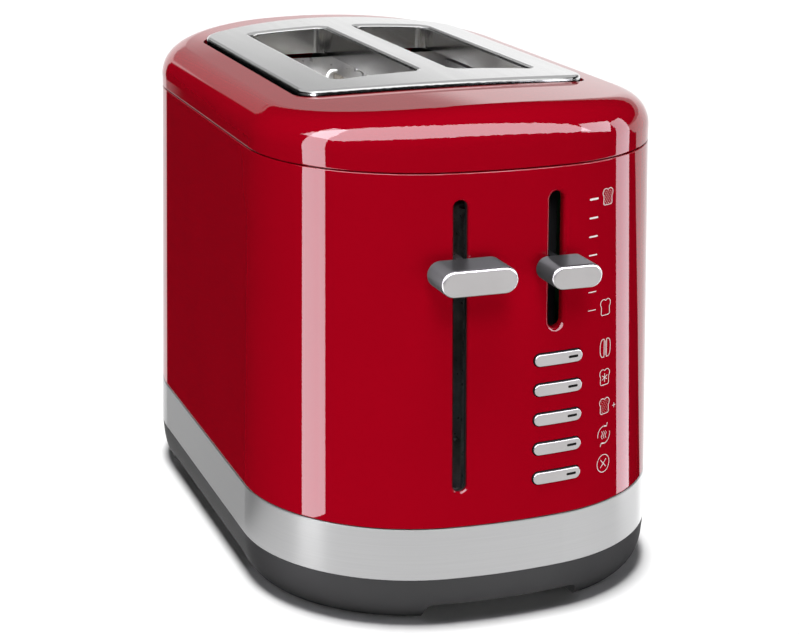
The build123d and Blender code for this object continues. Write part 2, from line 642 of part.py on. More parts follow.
def make_bread_guide(centre, side):
    """Wire frame on a pivot rod: upright wires with hooked tops and a rail across them."""
    x = centre + side * GUIDE_OFFSET
    ends = (
        CHAMBER_FRONT - CHASSIS_SHEET - GUIDE_ROD_OVERHANG,
        CHAMBER_REAR + CHASSIS_SHEET + GUIDE_ROD_OVERHANG,
    )
    shape = bar(x, GUIDE_PIVOT_HEIGHT, GUIDE_ROD / 2, ends)
    half_span = (GUIDE_WIRES - 1) / 2 * GUIDE_WIRE_PITCH + GUIDE_WIRE
    rail_x = x + side * GUIDE_WIRE / 2
    rail_ends = (SLOT_MIDDLE_Y - half_span, SLOT_MIDDLE_Y + half_span)
    shape += bar(rail_x, GUIDE_TOP - GUIDE_RAIL_DROP, GUIDE_WIRE / 2, rail_ends)
    for index in range(GUIDE_WIRES):
        y = SLOT_MIDDLE_Y + (index - (GUIDE_WIRES - 1) / 2) * GUIDE_WIRE_PITCH
        foot = (x, y, GUIDE_PIVOT_HEIGHT)
        hook = (x + side * GUIDE_HOOK, y, GUIDE_TOP)
        path = FilletPolyline(foot, (x, y, GUIDE_TOP), hook, radius=GUIDE_BEND)
        shape += sweep(Pos(*foot) * Circle(GUIDE_WIRE / 2), path)
    return shape


def make_bread_rack(centre):
    """Strip that carries one slice, with dipped ribs and an arm at each end through the chassis."""
    front = CHAMBER_FRONT + RACK_END_GAP
    rear = CHAMBER_REAR - RACK_END_GAP
    half = RACK_WIDTH / 2
    shape = box((centre - half, centre + half), (front, rear), (RACK_HEIGHT - RACK_SHEET, RACK_HEIGHT))
    left = (-half, RACK_RIB_HEIGHT)
    right = (half, RACK_RIB_HEIGHT)
    dip = ThreePointArc(left, (0, RACK_RIB_HEIGHT - RACK_RIB_DIP), right)
    rib_face = make_face([Polyline(right, (half, -RACK_SHEET), (-half, -RACK_SHEET), left), dip])
    pitch = (rear - front - RACK_SHEET) / (RACK_RIBS - 1)
    for index in range(RACK_RIBS):
        rib_y = front + RACK_SHEET + index * pitch
        plane = Plane((centre, rib_y, RACK_HEIGHT), x_dir=(1, 0, 0), z_dir=(0, -1, 0))
        shape += extrude(plane * rib_face, RACK_SHEET)
    arm_x = (centre - RACK_ARM_WIDTH / 2, centre + RACK_ARM_WIDTH / 2)
    arm_z = (RACK_HEIGHT - RACK_ARM_HEIGHT / 2, RACK_HEIGHT + RACK_ARM_HEIGHT / 2)
    shape += box(arm_x, (CARRIAGE_BACK, front + RACK_SHEET), arm_z)
    shape += box(arm_x, (rear - RACK_SHEET, CHAMBER_REAR + CHASSIS_SHEET + RACK_TAIL), arm_z)
    return shape


def make_carriage():
    """Plate that joins the two racks, with bushes on the guide rods and a tab for the spring."""
    shape = box(
        (-CARRIAGE_HALF_WIDTH, CARRIAGE_HALF_WIDTH),
        (CARRIAGE_FRONT, CARRIAGE_BACK),
        (CARRIAGE_BOTTOM, CARRIAGE_TOP),
    )
    shape = fillet(shape.edges().filter_by(Axis.Y), CARRIAGE_SHEET)
    span = (CARRIAGE_BOTTOM, CARRIAGE_TOP)
    for x in rod_places():
        shape += post(x, ROD_Y, ROD_DIAMETER / 2 + BUSH_WALL + SLIDE_GAP, span)
        shape += box((x - BUSH_WALL, x + BUSH_WALL), (ROD_Y, CARRIAGE_BACK), span)
    for x in rod_places():
        shape -= post(x, ROD_Y, ROD_DIAMETER / 2 + SLIDE_GAP, span)
    half_tab = SPRING_TAB_WIDTH / 2
    tab_y = (ROD_Y - half_tab, CARRIAGE_BACK)
    tab_z = (CARRIAGE_TOP - 2 * CARRIAGE_SHEET, CARRIAGE_TOP - CARRIAGE_SHEET)
    return shape + box((SPRING_X - half_tab, SPRING_X + half_tab), tab_y, tab_z)


def make_lift_spring():
    """Tension spring from the carriage's tab to the chassis's top shelf, swept on quarter-turn arcs."""
    low = CARRIAGE_TOP - CARRIAGE_SHEET
    lead = SPRING_WIRE
    rise = FLANGE_TOP - low - 2 * lead
    quarters = 4 * SPRING_TURNS

    def coil_point(quarter):
        angle = radians(90 * quarter)
        height = low + lead + rise * quarter / quarters
        return (SPRING_X + SPRING_RADIUS * cos(angle), ROD_Y + SPRING_RADIUS * sin(angle), height)

    arcs = [
        ThreePointArc(coil_point(quarter), coil_point(quarter + 0.5), coil_point(quarter + 1))
        for quarter in range(quarters)
    ]
    path = Wire(arcs)
    start = Plane(path @ 0, z_dir=path % 0)
    shape = sweep(start * Circle(SPRING_WIRE / 2), path)
    for end in (0, quarters):
        x, y, height = coil_point(end)
        ends = sorted((height, low if end == 0 else FLANGE_TOP))
        shape += post(x, y, SPRING_WIRE / 2, ends)
    gap = rise / SPRING_TURNS - SPRING_WIRE
    print(f"lift spring: least gap between turns {gap:.2f} mm")
    return shape


def make_lever_arm():
    """Flat bar from the carriage through the lever slot into the knob."""
    ends = (-LEVER_KNOB_FRONT + LEVER_KNOB_DEPTH - KNOB_SOCKET_DEPTH + FIT_GAP, CARRIAGE_FRONT)
    half = LEVER_ARM_HEIGHT / 2
    return box(
        (LEVER_X - LEVER_ARM_WIDTH / 2, LEVER_X + LEVER_ARM_WIDTH / 2),
        ends,
        (LEVER_HEIGHT - half, LEVER_HEIGHT + half),
    )


def make_knob(x, height, size, depth, front, stem):
    """Pill-shaped knob with a rounded front edge and a socket for its stem."""
    back = -front + depth
    shape = pill(x, height, size[0], size[1], (-front, back))
    shape = fillet(shape.faces().sort_by(Axis.Y)[0].edges(), KNOB_EDGE_RADIUS)
    socket_x = stem[0] / 2 + SLIDE_GAP
    socket_z = stem[1] / 2 + SLIDE_GAP
    return shape - box(
        (x - socket_x, x + socket_x),
        (back - KNOB_SOCKET_DEPTH, back),
        (height - socket_z, height + socket_z),
    )


def make_lever_knob():
    """Knob of the lever."""
    size = (LEVER_KNOB_LENGTH, LEVER_KNOB_HEIGHT)
    stem = (LEVER_ARM_WIDTH, LEVER_ARM_HEIGHT)
    return make_knob(LEVER_X, LEVER_HEIGHT, size, LEVER_KNOB_DEPTH, LEVER_KNOB_FRONT, stem)


def make_browning_knob():
    """Knob of the browning control."""
    size = (BROWNING_KNOB_LENGTH, BROWNING_KNOB_HEIGHT)
    stem = (BROWNING_STEM_WIDTH, BROWNING_STEM_HEIGHT)
    return make_knob(BROWNING_X, BROWNING_HEIGHT, size, BROWNING_KNOB_DEPTH, BROWNING_KNOB_FRONT, stem)


def make_browning_stem():
    """Flat stem from the potentiometer through the browning slot into its knob."""
    half_width = BROWNING_STEM_WIDTH / 2
    half_height = BROWNING_STEM_HEIGHT / 2
    front = -BROWNING_KNOB_FRONT + BROWNING_KNOB_DEPTH - KNOB_SOCKET_DEPTH + FIT_GAP
    back = -BOARD_FRONT - POT_DEPTH + POT_SLOT_DEPTH - FIT_GAP
    return box(
        (BROWNING_X - half_width, BROWNING_X + half_width),
        (front, back),
        (BROWNING_HEIGHT - half_height, BROWNING_HEIGHT + half_height),
    )


def make_potentiometer():
    """Slide potentiometer on the board, with a channel for the stem."""
    reach = BROWNING_TRAVEL + BROWNING_STEM_HEIGHT / 2
    front = -BOARD_FRONT - POT_DEPTH
    shape = box(
        (BROWNING_X - POT_WIDTH / 2, BROWNING_X + POT_WIDTH / 2),
        (front, -BOARD_FRONT),
        (BROWNING_HEIGHT - reach - POT_MARGIN, BROWNING_HEIGHT + reach + POT_MARGIN),
    )
    half = BROWNING_STEM_WIDTH / 2 + FIT_GAP
    channel_z = (BROWNING_HEIGHT - reach - FIT_GAP, BROWNING_HEIGHT + reach + FIT_GAP)
    return shape - box((BROWNING_X - half, BROWNING_X + half), (front, front + POT_SLOT_DEPTH), channel_z)


def make_armature():
    """Steel keeper under the carriage that the magnet holds while the racks are down."""
    half = ARMATURE_WIDTH / 2
    return box(
        (ARMATURE_X - half, ARMATURE_X + half),
        (CARRIAGE_FRONT - ARMATURE_REACH, CARRIAGE_FRONT),
        (CARRIAGE_BOTTOM, CARRIAGE_BOTTOM + ARMATURE_SHEET),
    )


def magnet_axis():
    """X and Y of the magnet, under the middle of the armature."""
    return (ARMATURE_X, CARRIAGE_FRONT - ARMATURE_REACH / 2)


def make_magnet_core():
    """Iron core that stands on the chassis's bottom shelf and stops just short of the armature."""
    x, y = magnet_axis()
    return post(x, y, CORE_RADIUS, (FLANGE_BOTTOM, CARRIAGE_BOTTOM - LEVER_FALL - MAGNET_GAP))


def make_magnet_coil():
    """Coil on a flanged bobbin round the core."""
    x, y = magnet_axis()
    top = CARRIAGE_BOTTOM - LEVER_FALL - 2 * MAGNET_GAP - COIL_FLANGE
    shape = post(x, y, COIL_RADIUS, (FLANGE_BOTTOM, top))
    shape += post(x, y, COIL_FLANGE_RADIUS, (FLANGE_BOTTOM, FLANGE_BOTTOM + COIL_FLANGE))
    shape += post(x, y, COIL_FLANGE_RADIUS, (top - COIL_FLANGE, top))
    return shape - post(x, y, CORE_RADIUS + SLIDE_GAP, (FLANGE_BOTTOM, top))


def button_heights():
    """Heights of the five buttons, from the top."""
    return [BUTTON_TOP_HEIGHT - index * BUTTON_PITCH for index in range(len(BUTTON_NAMES))]


def button_prism(height, growth, y_range):
    """Pill-shaped prism of one button, grown by a gap."""
    return pill(BUTTON_X, height, BUTTON_LENGTH + 2 * growth, BUTTON_HEIGHT + 2 * growth, y_range)


def button_back(height):
    """Y of the back of a button's cap, just behind the carrier all along its flange."""
    end = BUTTON_X + BUTTON_LENGTH / 2 + BUTTON_FLANGE
    return wall_y(end, WRAP_WALL + FIT_GAP + CARRIER_WALL, height + BUTTON_HEIGHT) + FIT_GAP


def make_button(height):
    """Button whose face follows the wall, with a stop flange behind the carrier and a stem."""
    back = button_back(height)
    skin = drafted_body(-BUTTON_PROUD, height - BUTTON_PITCH, height + BUTTON_PITCH)
    shape = button_prism(height, 0, (-2 * BODY_HALF_DEPTH, back)) & skin
    shape = fillet(shape.faces().sort_by(Axis.Y)[0].edges(), BUTTON_EDGE)
    shape += button_prism(height, BUTTON_FLANGE, (back, back + BUTTON_FLANGE_THICKNESS))
    stem_end = -BOARD_FRONT - SWITCH_DEPTH - PLUNGER_LENGTH - BUTTON_TRAVEL - FIT_GAP
    shape += bar(BUTTON_X, height, BUTTON_STEM_RADIUS, (back, stem_end))
    return shape - lens_prism(height)


def lens_prism(height):
    """Pocket of one indicator lens, near the right end of its button."""
    x = BUTTON_X + BUTTON_LENGTH / 2 - LENS_INSET
    face = wall_y(x, -BUTTON_PROUD, height)
    return pill(x, height, LENS_LENGTH, LENS_HEIGHT, (face - LENS_DEPTH, face + LENS_DEPTH))


def make_lens(height):
    """Clear lens that fills its pocket and follows the button's face."""
    skin = drafted_body(-BUTTON_PROUD, height - BUTTON_PITCH, height + BUTTON_PITCH)
    return lens_prism(height) & skin


def make_control_carrier():
    """Black moulding behind the front wall, with openings for the controls and posts for the board."""
    inset = WRAP_WALL + FIT_GAP
    shape = drafted_body(inset, CARRIER_BOTTOM, CARRIER_TOP)
    shape -= drafted_body(inset + CARRIER_WALL, CARRIER_BOTTOM, CARRIER_TOP)
    width = (-CARRIER_HALF_WIDTH, CARRIER_HALF_WIDTH)
    shape &= box(width, (-2 * BODY_HALF_DEPTH, 0), (CARRIER_BOTTOM, CARRIER_TOP))
    shape -= lever_slot_prism()
    shape -= browning_slot_prism(WRAP_WALL + FIT_GAP)
    for height in button_heights():
        shape -= button_prism(height, BUTTON_GAP, (-2 * BODY_HALF_DEPTH, 0))
    middle = drafted_body(inset + CARRIER_WALL / 2, CARRIER_BOTTOM, CARRIER_TOP)
    for x, height in post_places():
        shape += bar(x, height, POST_RADIUS, (-2 * BODY_HALF_DEPTH, -BOARD_FRONT)) & middle
    return shape


def post_places():
    """X and height of the four posts that hold the board."""
    low = CARRIER_BOTTOM + BOARD_EDGE + POST_INSET
    high = CARRIER_TOP - BOARD_EDGE - POST_INSET
    return [(x, z) for x in (BOARD_LEFT + POST_INSET, BOARD_RIGHT - POST_INSET) for z in (low, high)]


def make_control_board():
    """Circuit board that the switches and the potentiometer stand on."""
    return box(
        (BOARD_LEFT, BOARD_RIGHT),
        (-BOARD_FRONT, -BOARD_FRONT + BOARD_SHEET),
        (CARRIER_BOTTOM + BOARD_EDGE, CARRIER_TOP - BOARD_EDGE),
    )


def make_tact_switches():
    """Five small switches on the board, each with a round plunger behind its button."""
    switches = []
    half = SWITCH_SIZE / 2
    front = -BOARD_FRONT - SWITCH_DEPTH
    for height in button_heights():
        case = box((BUTTON_X - half, BUTTON_X + half), (front, -BOARD_FRONT), (height - half, height + half))
        switches.append(case + bar(BUTTON_X, height, BUTTON_STEM_RADIUS, (front - PLUNGER_LENGTH, front)))
    return switches


def base_skirt():
    """The base's outer form: it swells from the feet up to the band."""
    skirt = draft_offset(BAND_BOTTOM)
    levels = [
        (PAD_DROP, skirt - FOOT_INSET),
        (FOOT_WAIST_HEIGHT, skirt - FOOT_WAIST_INSET),
        (SKIRT_HEIGHT, skirt - SKIRT_INSET),
        (BAND_BOTTOM, skirt),
    ]
    return loft([body_face(offset, height) for height, offset in levels])


def base_inside():
    """Offset of the base's inner wall from the parting-line outline."""
    return draft_offset(BAND_BOTTOM) - FOOT_WAIST_INSET - BASE_WALL


def handle_front():
    """Y of the inner face of the tray's handle."""
    return BODY_HALF_DEPTH + base_inside() - HANDLE_DEPTH


def make_crumb_tray():
    """Shallow folded pan under the chamber."""
    low = FLOOR_TOP + FIT_GAP
    shape = box((-TRAY_HALF_WIDTH, TRAY_HALF_WIDTH), (TRAY_FRONT_Y, handle_front()), (low, low + TRAY_HEIGHT))
    inside = TRAY_HALF_WIDTH - TRAY_SHEET
    return shape - box(
        (-inside, inside),
        (TRAY_FRONT_Y + TRAY_SHEET, handle_front() - TRAY_SHEET),
        (low + TRAY_SHEET, low + 2 * TRAY_HEIGHT),
    )


def make_tray_handle():
    """Rear face of the tray, which closes the opening in the base and follows its skirt."""
    low = FLOOR_TOP + FIT_GAP
    high = TRAY_OPENING_TOP - FIT_GAP
    blank = box((-TRAY_HALF_WIDTH, TRAY_HALF_WIDTH), (handle_front(), 2 * BODY_HALF_DEPTH), (low, high))
    shape = base_skirt() & blank
    grip = Cylinder(HANDLE_GRIP_RADIUS, TRAY_HALF_WIDTH, rotation=(0, 90, 0))
    return shape - Pos(0, BODY_HALF_DEPTH, low - HANDLE_GRIP_RADIUS / 4) * grip


def make_rubber_feet():
    """Four round pads let into the feet."""
    return [post(x, y, PAD_RADIUS, (0, PAD_DROP + PAD_RECESS)) for x, y in foot_places()]


def make_chassis_screws():
    """Four screws that hold the chassis plates' feet to the base."""
    seat = FLOOR_TOP + CHASSIS_SHEET
    screws = []
    for x, y in screw_places():
        screw = post(x, y, SCREW_HEAD_RADIUS, (seat, seat + SCREW_HEAD_HEIGHT))
        screws.append(screw + post(x, y, SCREW_SHANK_RADIUS, (ARCH_HEIGHT, seat)))
    return screws


def save(name, shape):
    """Write one node's solids in the part's own frame."""
    solids = []
    for piece in shape if isinstance(shape, list) else [shape]:
        solids.extend(piece.solids())
    node = Compound(children=[Pos(0, BODY_SHIFT, 0) * solid for solid in solids])
    node.label = name
    export_step(node, f"parts/{name}.step")


def main():
    """Build every node and write its file."""
    os.makedirs("parts", exist_ok=True)
    nodes = {
        "base_pan": make_base_pan(),
        "rubber_feet": make_rubber_feet(),
        "trim_band": make_trim_band(),
        "body_wrap": make_body_wrap(),
        "top_cover": make_top_cover(),
        "top_plate": make_top_plate(),
        "front_chassis_plate": make_front_chassis(),
        "rear_chassis_plate": chassis_plate(CHAMBER_REAR, 1),
        "left_reflector": make_reflector(-1),
        "right_reflector": make_reflector(1),
        "terminal_blocks": make_terminal_blocks(),
        "guide_rods": make_guide_rods(),
        "carriage": make_carriage(),
        "lift_spring": make_lift_spring(),
        "lever_arm": make_lever_arm(),
        "lever_knob": make_lever_knob(),
        "armature": make_armature(),
        "magnet_core": make_magnet_core(),
        "magnet_coil": make_magnet_coil(),
        "control_carrier": make_control_carrier(),
        "control_board": make_control_board(),
        "tact_switches": make_tact_switches(),
        "browning_potentiometer": make_potentiometer(),
        "browning_stem": make_browning_stem(),
        "browning_knob": make_browning_knob(),
        "crumb_tray": make_crumb_tray(),
        "tray_handle": make_tray_handle(),
        "chassis_screws": make_chassis_screws(),
        "cord_gland": make_cord_gland(),
    }
    for name, centre in zip(("left", "centre", "right"), HEATER_CENTRES):
        nodes[f"{name}_heater_card"] = make_heater_card(centre)
    for name, centre, outward in (("left", SLOT_CENTRES[0], -1), ("right", SLOT_CENTRES[1], 1)):
        nodes[f"{name}_bread_rack"] = make_bread_rack(centre)
        nodes[f"{name}_outer_guide"] = make_bread_guide(centre, outward)
        nodes[f"{name}_inner_guide"] = make_bread_guide(centre, -outward)
    for name, height in zip(BUTTON_NAMES, button_heights()):
        nodes[f"{name}_button"] = make_button(height)
        nodes[f"{name}_lens"] = make_lens(height)
    for name, shape in nodes.items():
        save(name, shape)


main()
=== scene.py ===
# %% [markdown]
# # A pop-up toaster, dressed for its picture
# The solids of the toaster come from a CAD model and stay where they are. This lesson gives them their
# finishes, adds the thin things that solids leave out (printed marks, heating ribbon), and sets up a small
# product studio. Every length below is in millimetres and is turned into metres at the last moment.

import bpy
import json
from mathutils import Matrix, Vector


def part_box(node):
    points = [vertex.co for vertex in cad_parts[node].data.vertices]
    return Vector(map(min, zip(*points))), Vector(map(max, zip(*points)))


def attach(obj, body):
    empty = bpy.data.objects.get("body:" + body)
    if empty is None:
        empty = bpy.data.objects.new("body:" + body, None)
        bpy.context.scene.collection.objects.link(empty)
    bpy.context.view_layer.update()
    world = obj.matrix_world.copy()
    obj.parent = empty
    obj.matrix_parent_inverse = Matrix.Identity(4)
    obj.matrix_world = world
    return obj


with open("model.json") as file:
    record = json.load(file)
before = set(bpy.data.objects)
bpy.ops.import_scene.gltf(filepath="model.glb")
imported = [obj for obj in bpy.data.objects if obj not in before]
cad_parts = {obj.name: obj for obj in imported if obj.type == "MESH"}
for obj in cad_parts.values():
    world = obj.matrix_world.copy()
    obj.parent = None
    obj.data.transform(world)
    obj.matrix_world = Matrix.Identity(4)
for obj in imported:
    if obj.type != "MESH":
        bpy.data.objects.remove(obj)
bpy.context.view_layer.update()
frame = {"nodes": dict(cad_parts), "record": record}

# %% [markdown]
# ## Units and the body's own middle
# The toaster's drawing is made about the middle of its body, but the part's origin lies under the middle of
# its whole box, knobs included. One shift along Y links the two, and it can be read from the box of the wrap.

# %% Units
import json
import math

import bmesh
import bpy
import numpy as np
from mathutils import Matrix

MM = 0.001
wrap_low, wrap_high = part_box("body_wrap")
BODY_SHIFT = (wrap_low.y + wrap_high.y) / 2 / MM


def to_metres(points):
    """Points in millimetres about the body's middle, moved along Y by the shift and turned into metres."""
    return (np.asarray(points, float) + (0.0, BODY_SHIFT, 0.0)) * MM


print("body shift along Y:", round(BODY_SHIFT, 3), "mm")

# %% [markdown]
# ## The camera
# A product picture is taken from a little above, with a long lens, so that upright edges stay nearly upright.
# The camera is placed by where it stands and where it looks, and its three axes are worked out with cross
# products. A turn of a fraction of a degree about the view levels the picture as it was taken.

# %% Camera
EYE = (-296.04, -832.75, 350.50)
LOOK_AT = (5.42, 0.0, 86.31)
VIEW_ROLL = math.radians(0.32)
LENS = 89.18
SENSOR_WIDTH = 36.0
VIEW_DEPTH = 50000.0


def camera_axes(eye, target, roll):
    """Right, up and back vectors: back runs from target to eye, right lies level, and both turn by the roll."""
    back = (eye - target) / np.linalg.norm(eye - target)
    level = np.cross((0.0, 0.0, 1.0), back)
    level /= np.linalg.norm(level)
    rise = np.cross(back, level)
    right = math.cos(roll) * level + math.sin(roll) * rise
    up = math.cos(roll) * rise - math.sin(roll) * level
    return right, up, back


eye, target = to_metres([EYE, LOOK_AT])
pose = np.eye(4)
pose[:3, :3] = np.column_stack(camera_axes(eye, target, VIEW_ROLL))
pose[:3, 3] = eye
lens = bpy.data.cameras.new("product_camera")
lens.lens = LENS
lens.sensor_width = SENSOR_WIDTH
lens.clip_end = VIEW_DEPTH * MM
camera = bpy.data.objects.new("product_camera", lens)
camera.matrix_world = Matrix(pose.tolist())
bpy.context.scene.collection.objects.link(camera)
bpy.context.scene.camera = camera
bpy.context.scene.view_settings.view_transform = "Standard"
print("camera at", np.round(eye, 3), "m")

# %% [markdown]
# ## The studio: a dim room with one pale wall
# A glossy shell shows the room it stands in, so the room is part of the look. Most of this room is dim, which
# keeps the enamel a deep colour. Behind the toaster stands one pale wall: the top of the shell looks at it
# along the surface and turns pale grey, up to a sharp line where the wall ends. A direction (x, y, z) meets
# that wall at x / y across and at z / y in height, so a few smooth steps on these two numbers draw it, dimmer
# towards its top. It runs on below the horizon, where it brightens the outermost edges of the body. The room
# is there for the gloss: the lamps do the lighting.

# %% World
ROOM_LEVEL = 0.004
WALL_LEVELS = (1.08, 0.44)
WALL_LEFT = -0.23
WALL_TOP = 0.375
WALL_FADE = (0.198, 0.232)
WALL_FOOT = -0.60
WALL_START = (0.05, 0.15)
EDGE = 0.012


def smooth_step(tree, value, low, high):
    """Node that eases from 0 to 1 while value runs from low to high, or from 1 to 0 where low is the larger."""
    node = tree.nodes.new("ShaderNodeMapRange")
    node.interpolation_type = "SMOOTHSTEP"
    node.inputs["From Min"].default_value = min(low, high)
    node.inputs["From Max"].default_value = max(low, high)
    node.inputs["To Min"].default_value = float(low > high)
    node.inputs["To Max"].default_value = float(low < high)
    tree.links.new(value, node.inputs["Value"])
    return node.outputs["Result"]


def blend_values(tree, factor, first, second):
    """Node that mixes two numbers or sockets by a factor; gives its output socket."""
    node = tree.nodes.new("ShaderNodeMix")
    tree.links.new(factor, node.inputs["Factor"])
    for name, value in (("A", first), ("B", second)):
        if isinstance(value, (int, float)):
            node.inputs[name].default_value = value
        else:
            tree.links.new(value, node.inputs[name])
    return node.outputs["Result"]


def combine(tree, operation, first, second):
    """Math node on two sockets; gives its output socket."""
    node = tree.nodes.new("ShaderNodeMath")
    node.operation = operation
    tree.links.new(first, node.inputs[0])
    tree.links.new(second, node.inputs[1])
    return node.outputs["Value"]


room = bpy.data.worlds.new("dim_room")
room.use_nodes = True
bpy.context.scene.world = room
tree = room.node_tree
direction = tree.nodes.new("ShaderNodeTexCoord")
axes = tree.nodes.new("ShaderNodeSeparateXYZ")
tree.links.new(direction.outputs["Generated"], axes.inputs["Vector"])
across = combine(tree, "DIVIDE", axes.outputs["X"], axes.outputs["Y"])
height = combine(tree, "DIVIDE", axes.outputs["Z"], axes.outputs["Y"])
wall = smooth_step(tree, axes.outputs["Y"], *WALL_START)
for edge in (
    smooth_step(tree, across, WALL_LEFT - EDGE, WALL_LEFT + EDGE),
    smooth_step(tree, height, WALL_TOP + EDGE, WALL_TOP - EDGE),
    smooth_step(tree, height, WALL_FOOT, WALL_FOOT + EDGE),
):
    wall = combine(tree, "MULTIPLY", wall, edge)
shade = blend_values(tree, smooth_step(tree, height, *WALL_FADE), *WALL_LEVELS)
level = blend_values(tree, wall, ROOM_LEVEL, shade)
tree.links.new(level, tree.nodes["Background"].inputs["Strength"])
tree.nodes["Background"].inputs["Color"].default_value = (1.0, 1.0, 1.0, 1.0)
room.cycles_visibility.diffuse = False
print("room level:", ROOM_LEVEL, "pale wall:", WALL_LEVELS)

# %% [markdown]
# ## The studio: lamps
# Two broad lamps light the toaster: one from above and one from behind the camera. A third reaches down into
# the bread slots and lights only what is inside. The last lights the table alone, from above and a little
# behind. Its shadow comes from the base only, so that it stays dark and close under the feet. A sun lamp with
# a wide angle does this evenly over the whole table. All of them are left out of the gloss, where they would
# show as round spots.

# %% Lamps
DOWN = (0.0, 0.0, -1.0)
UP = (0.0, 0.0, 1.0)
REARWARD = (0.0, 1.0, 0.0)
LAMP_HEIGHT = 2000.0
# Name, azimuth, elevation and angle across in degrees, and the level that a white sheet gets
LAMPS = (
    ("overhead_lamp", -60.0, 79.0, 40.0, 0.90),
    ("camera_lamp", -15.0, 40.0, 20.0, 0.40),
    ("slot_lamp", -50.0, 68.0, 50.0, 5.00),
    ("table_lamp", 180.0, 82.0, 18.0, 1.18),
)


def place_light(name, data, place, back, up):
    """Object for a light that shines against its back vector, with its up side towards a given direction."""
    back = np.asarray(back, float) / np.linalg.norm(back)
    right = np.cross(up, back)
    right /= np.linalg.norm(right)
    turn = np.eye(4)
    turn[:3, :3] = np.column_stack([right, np.cross(back, right), back])
    turn[:3, 3] = place
    lamp = bpy.data.objects.new(name, data)
    lamp.matrix_world = Matrix(turn.tolist())
    bpy.context.scene.collection.objects.link(lamp)
    return lamp


lamps = {}
for name, azimuth, elevation, angle, white_level in LAMPS:
    sun = bpy.data.lights.new(name, "SUN")
    sun.energy = white_level * math.pi
    sun.angle = math.radians(angle)
    turn, rise = math.radians(azimuth), math.radians(elevation)
    towards = (math.sin(turn) * math.cos(rise), -math.cos(turn) * math.cos(rise), math.sin(rise))
    lamp = place_light(name, sun, (0.0, 0.0, LAMP_HEIGHT * MM), towards, REARWARD)
    lamp.visible_glossy = False
    lamp.visible_transmission = False
    lamps[name] = lamp
print("lamps:", list(lamps))

# %% [markdown]
# ## The studio: highlight cards
# A photographer then stands bright cards near a glossy object, whose only job is to be seen in the gloss. Two
# narrow cards draw the upright lines at the front corners. A long one high above the camera draws the line
# along the shoulder, and a small one bends that line round to the right. A card is an area lamp that only
# mirror rays may see. The band and the plate would mirror them far too brightly, so they get dimmer ones of
# their own in the same places, and a wide dim one overhead.

# %% Cards
# Name, place, facing, up side, width and height, and radiance
CARDS = (
    ("left_card", (-176.0, -118.0, 177.0), (1.0, 0.0, 0.0), (0.0, 0.05, 1.0), (43.0, 345.0), 8.0),
    ("right_card", (160.0, -126.7, 122.0), (-1.0, 0.0, 0.0), (0.0, -0.066, 1.0), (36.0, 236.0), 4.1),
    ("shoulder_card", (1135.0, -2107.0, 1200.0), DOWN, (0.475, 0.88, 0.0), (8000.0, 1670.0), 8.0),
    ("bend_card", (860.0, -502.0, 443.0), (-0.9135, 0.4067, -0.2), (0.114, 0.256, 1.0), (449.0, 392.0), 7.5),
)
TOP_CARD = ("top_card", (0.0, 0.0, 2500.0), DOWN, REARWARD, (11000.0, 11000.0), 0.6)
CARD_TINT = (1.0, 0.99, 1.08)
SOFT_SHARE = 0.11


def gloss_card(name, place, facing, up, size, radiance):
    """Area lamp at a place in millimetres, seen by mirror rays alone. Power is radiance times area times pi."""
    data = bpy.data.lights.new(name, "AREA")
    data.shape = "RECTANGLE"
    data.size, data.size_y = (side * MM for side in size)
    data.energy = radiance * data.size * data.size_y * math.pi
    card = place_light(name, data, to_metres(place), -np.asarray(facing), up)
    card.visible_camera = False
    card.visible_diffuse = False
    card.visible_transmission = False
    return card


cards = [gloss_card(*facts) for facts in CARDS]
soft_cards = [gloss_card("soft_" + name, *facts, SOFT_SHARE * radiance) for name, *facts, radiance in CARDS]
soft_cards.append(gloss_card(*TOP_CARD))
print("cards:", [card.name for card in cards + soft_cards])

# %% [markdown]
# ## The studio: a white table
# The toaster stands on a plain white sheet that curves up far behind, as a paper roll in a studio does. Its
# height is zero near the middle and a parabola of the distance beyond that. It is matt and left out of the
# gloss: the metal parts get plain white cards of their own below them instead, so that the enamel stays deep
# while they stay bright. The card in front is the brighter one, so that the front of the band is lighter than
# its sides.

# %% Floor
FLOOR_HALF = 7000.0
FLAT_RADIUS = 3000.0
CURVE = 6000.0
FLOOR_CELLS = 70
SHEET_WHITE = (0.90, 0.90, 0.90, 1.0)
# Name, place along Y and radiance
METAL_CARDS = (("front_metal_card", -1020.0, 1.0), ("rear_metal_card", 980.0, 0.3))
METAL_CARD_SIZE = (4000.0, 2000.0)
METAL_CARD_Z = -2.0


def plain_grid(points):
    """Quads between neighbours of a grid of points (rows, columns, 3), as (points, faces)."""
    rows, columns = points.shape[:2]
    first = np.arange(rows - 1)[:, None] * columns + np.arange(columns - 1)
    faces = np.stack([first, first + 1, first + columns + 1, first + columns], axis=-1)
    return points.reshape(-1, 3), faces.reshape(-1, 4)


def bare_mesh(name, points, faces):
    """Object whose mesh has these points, in metres, and faces."""
    mesh = bpy.data.meshes.new(name)
    mesh.from_pydata(points.tolist(), [], faces.tolist())
    piece = bpy.data.objects.new(name, mesh)
    bpy.context.scene.collection.objects.link(piece)
    return piece


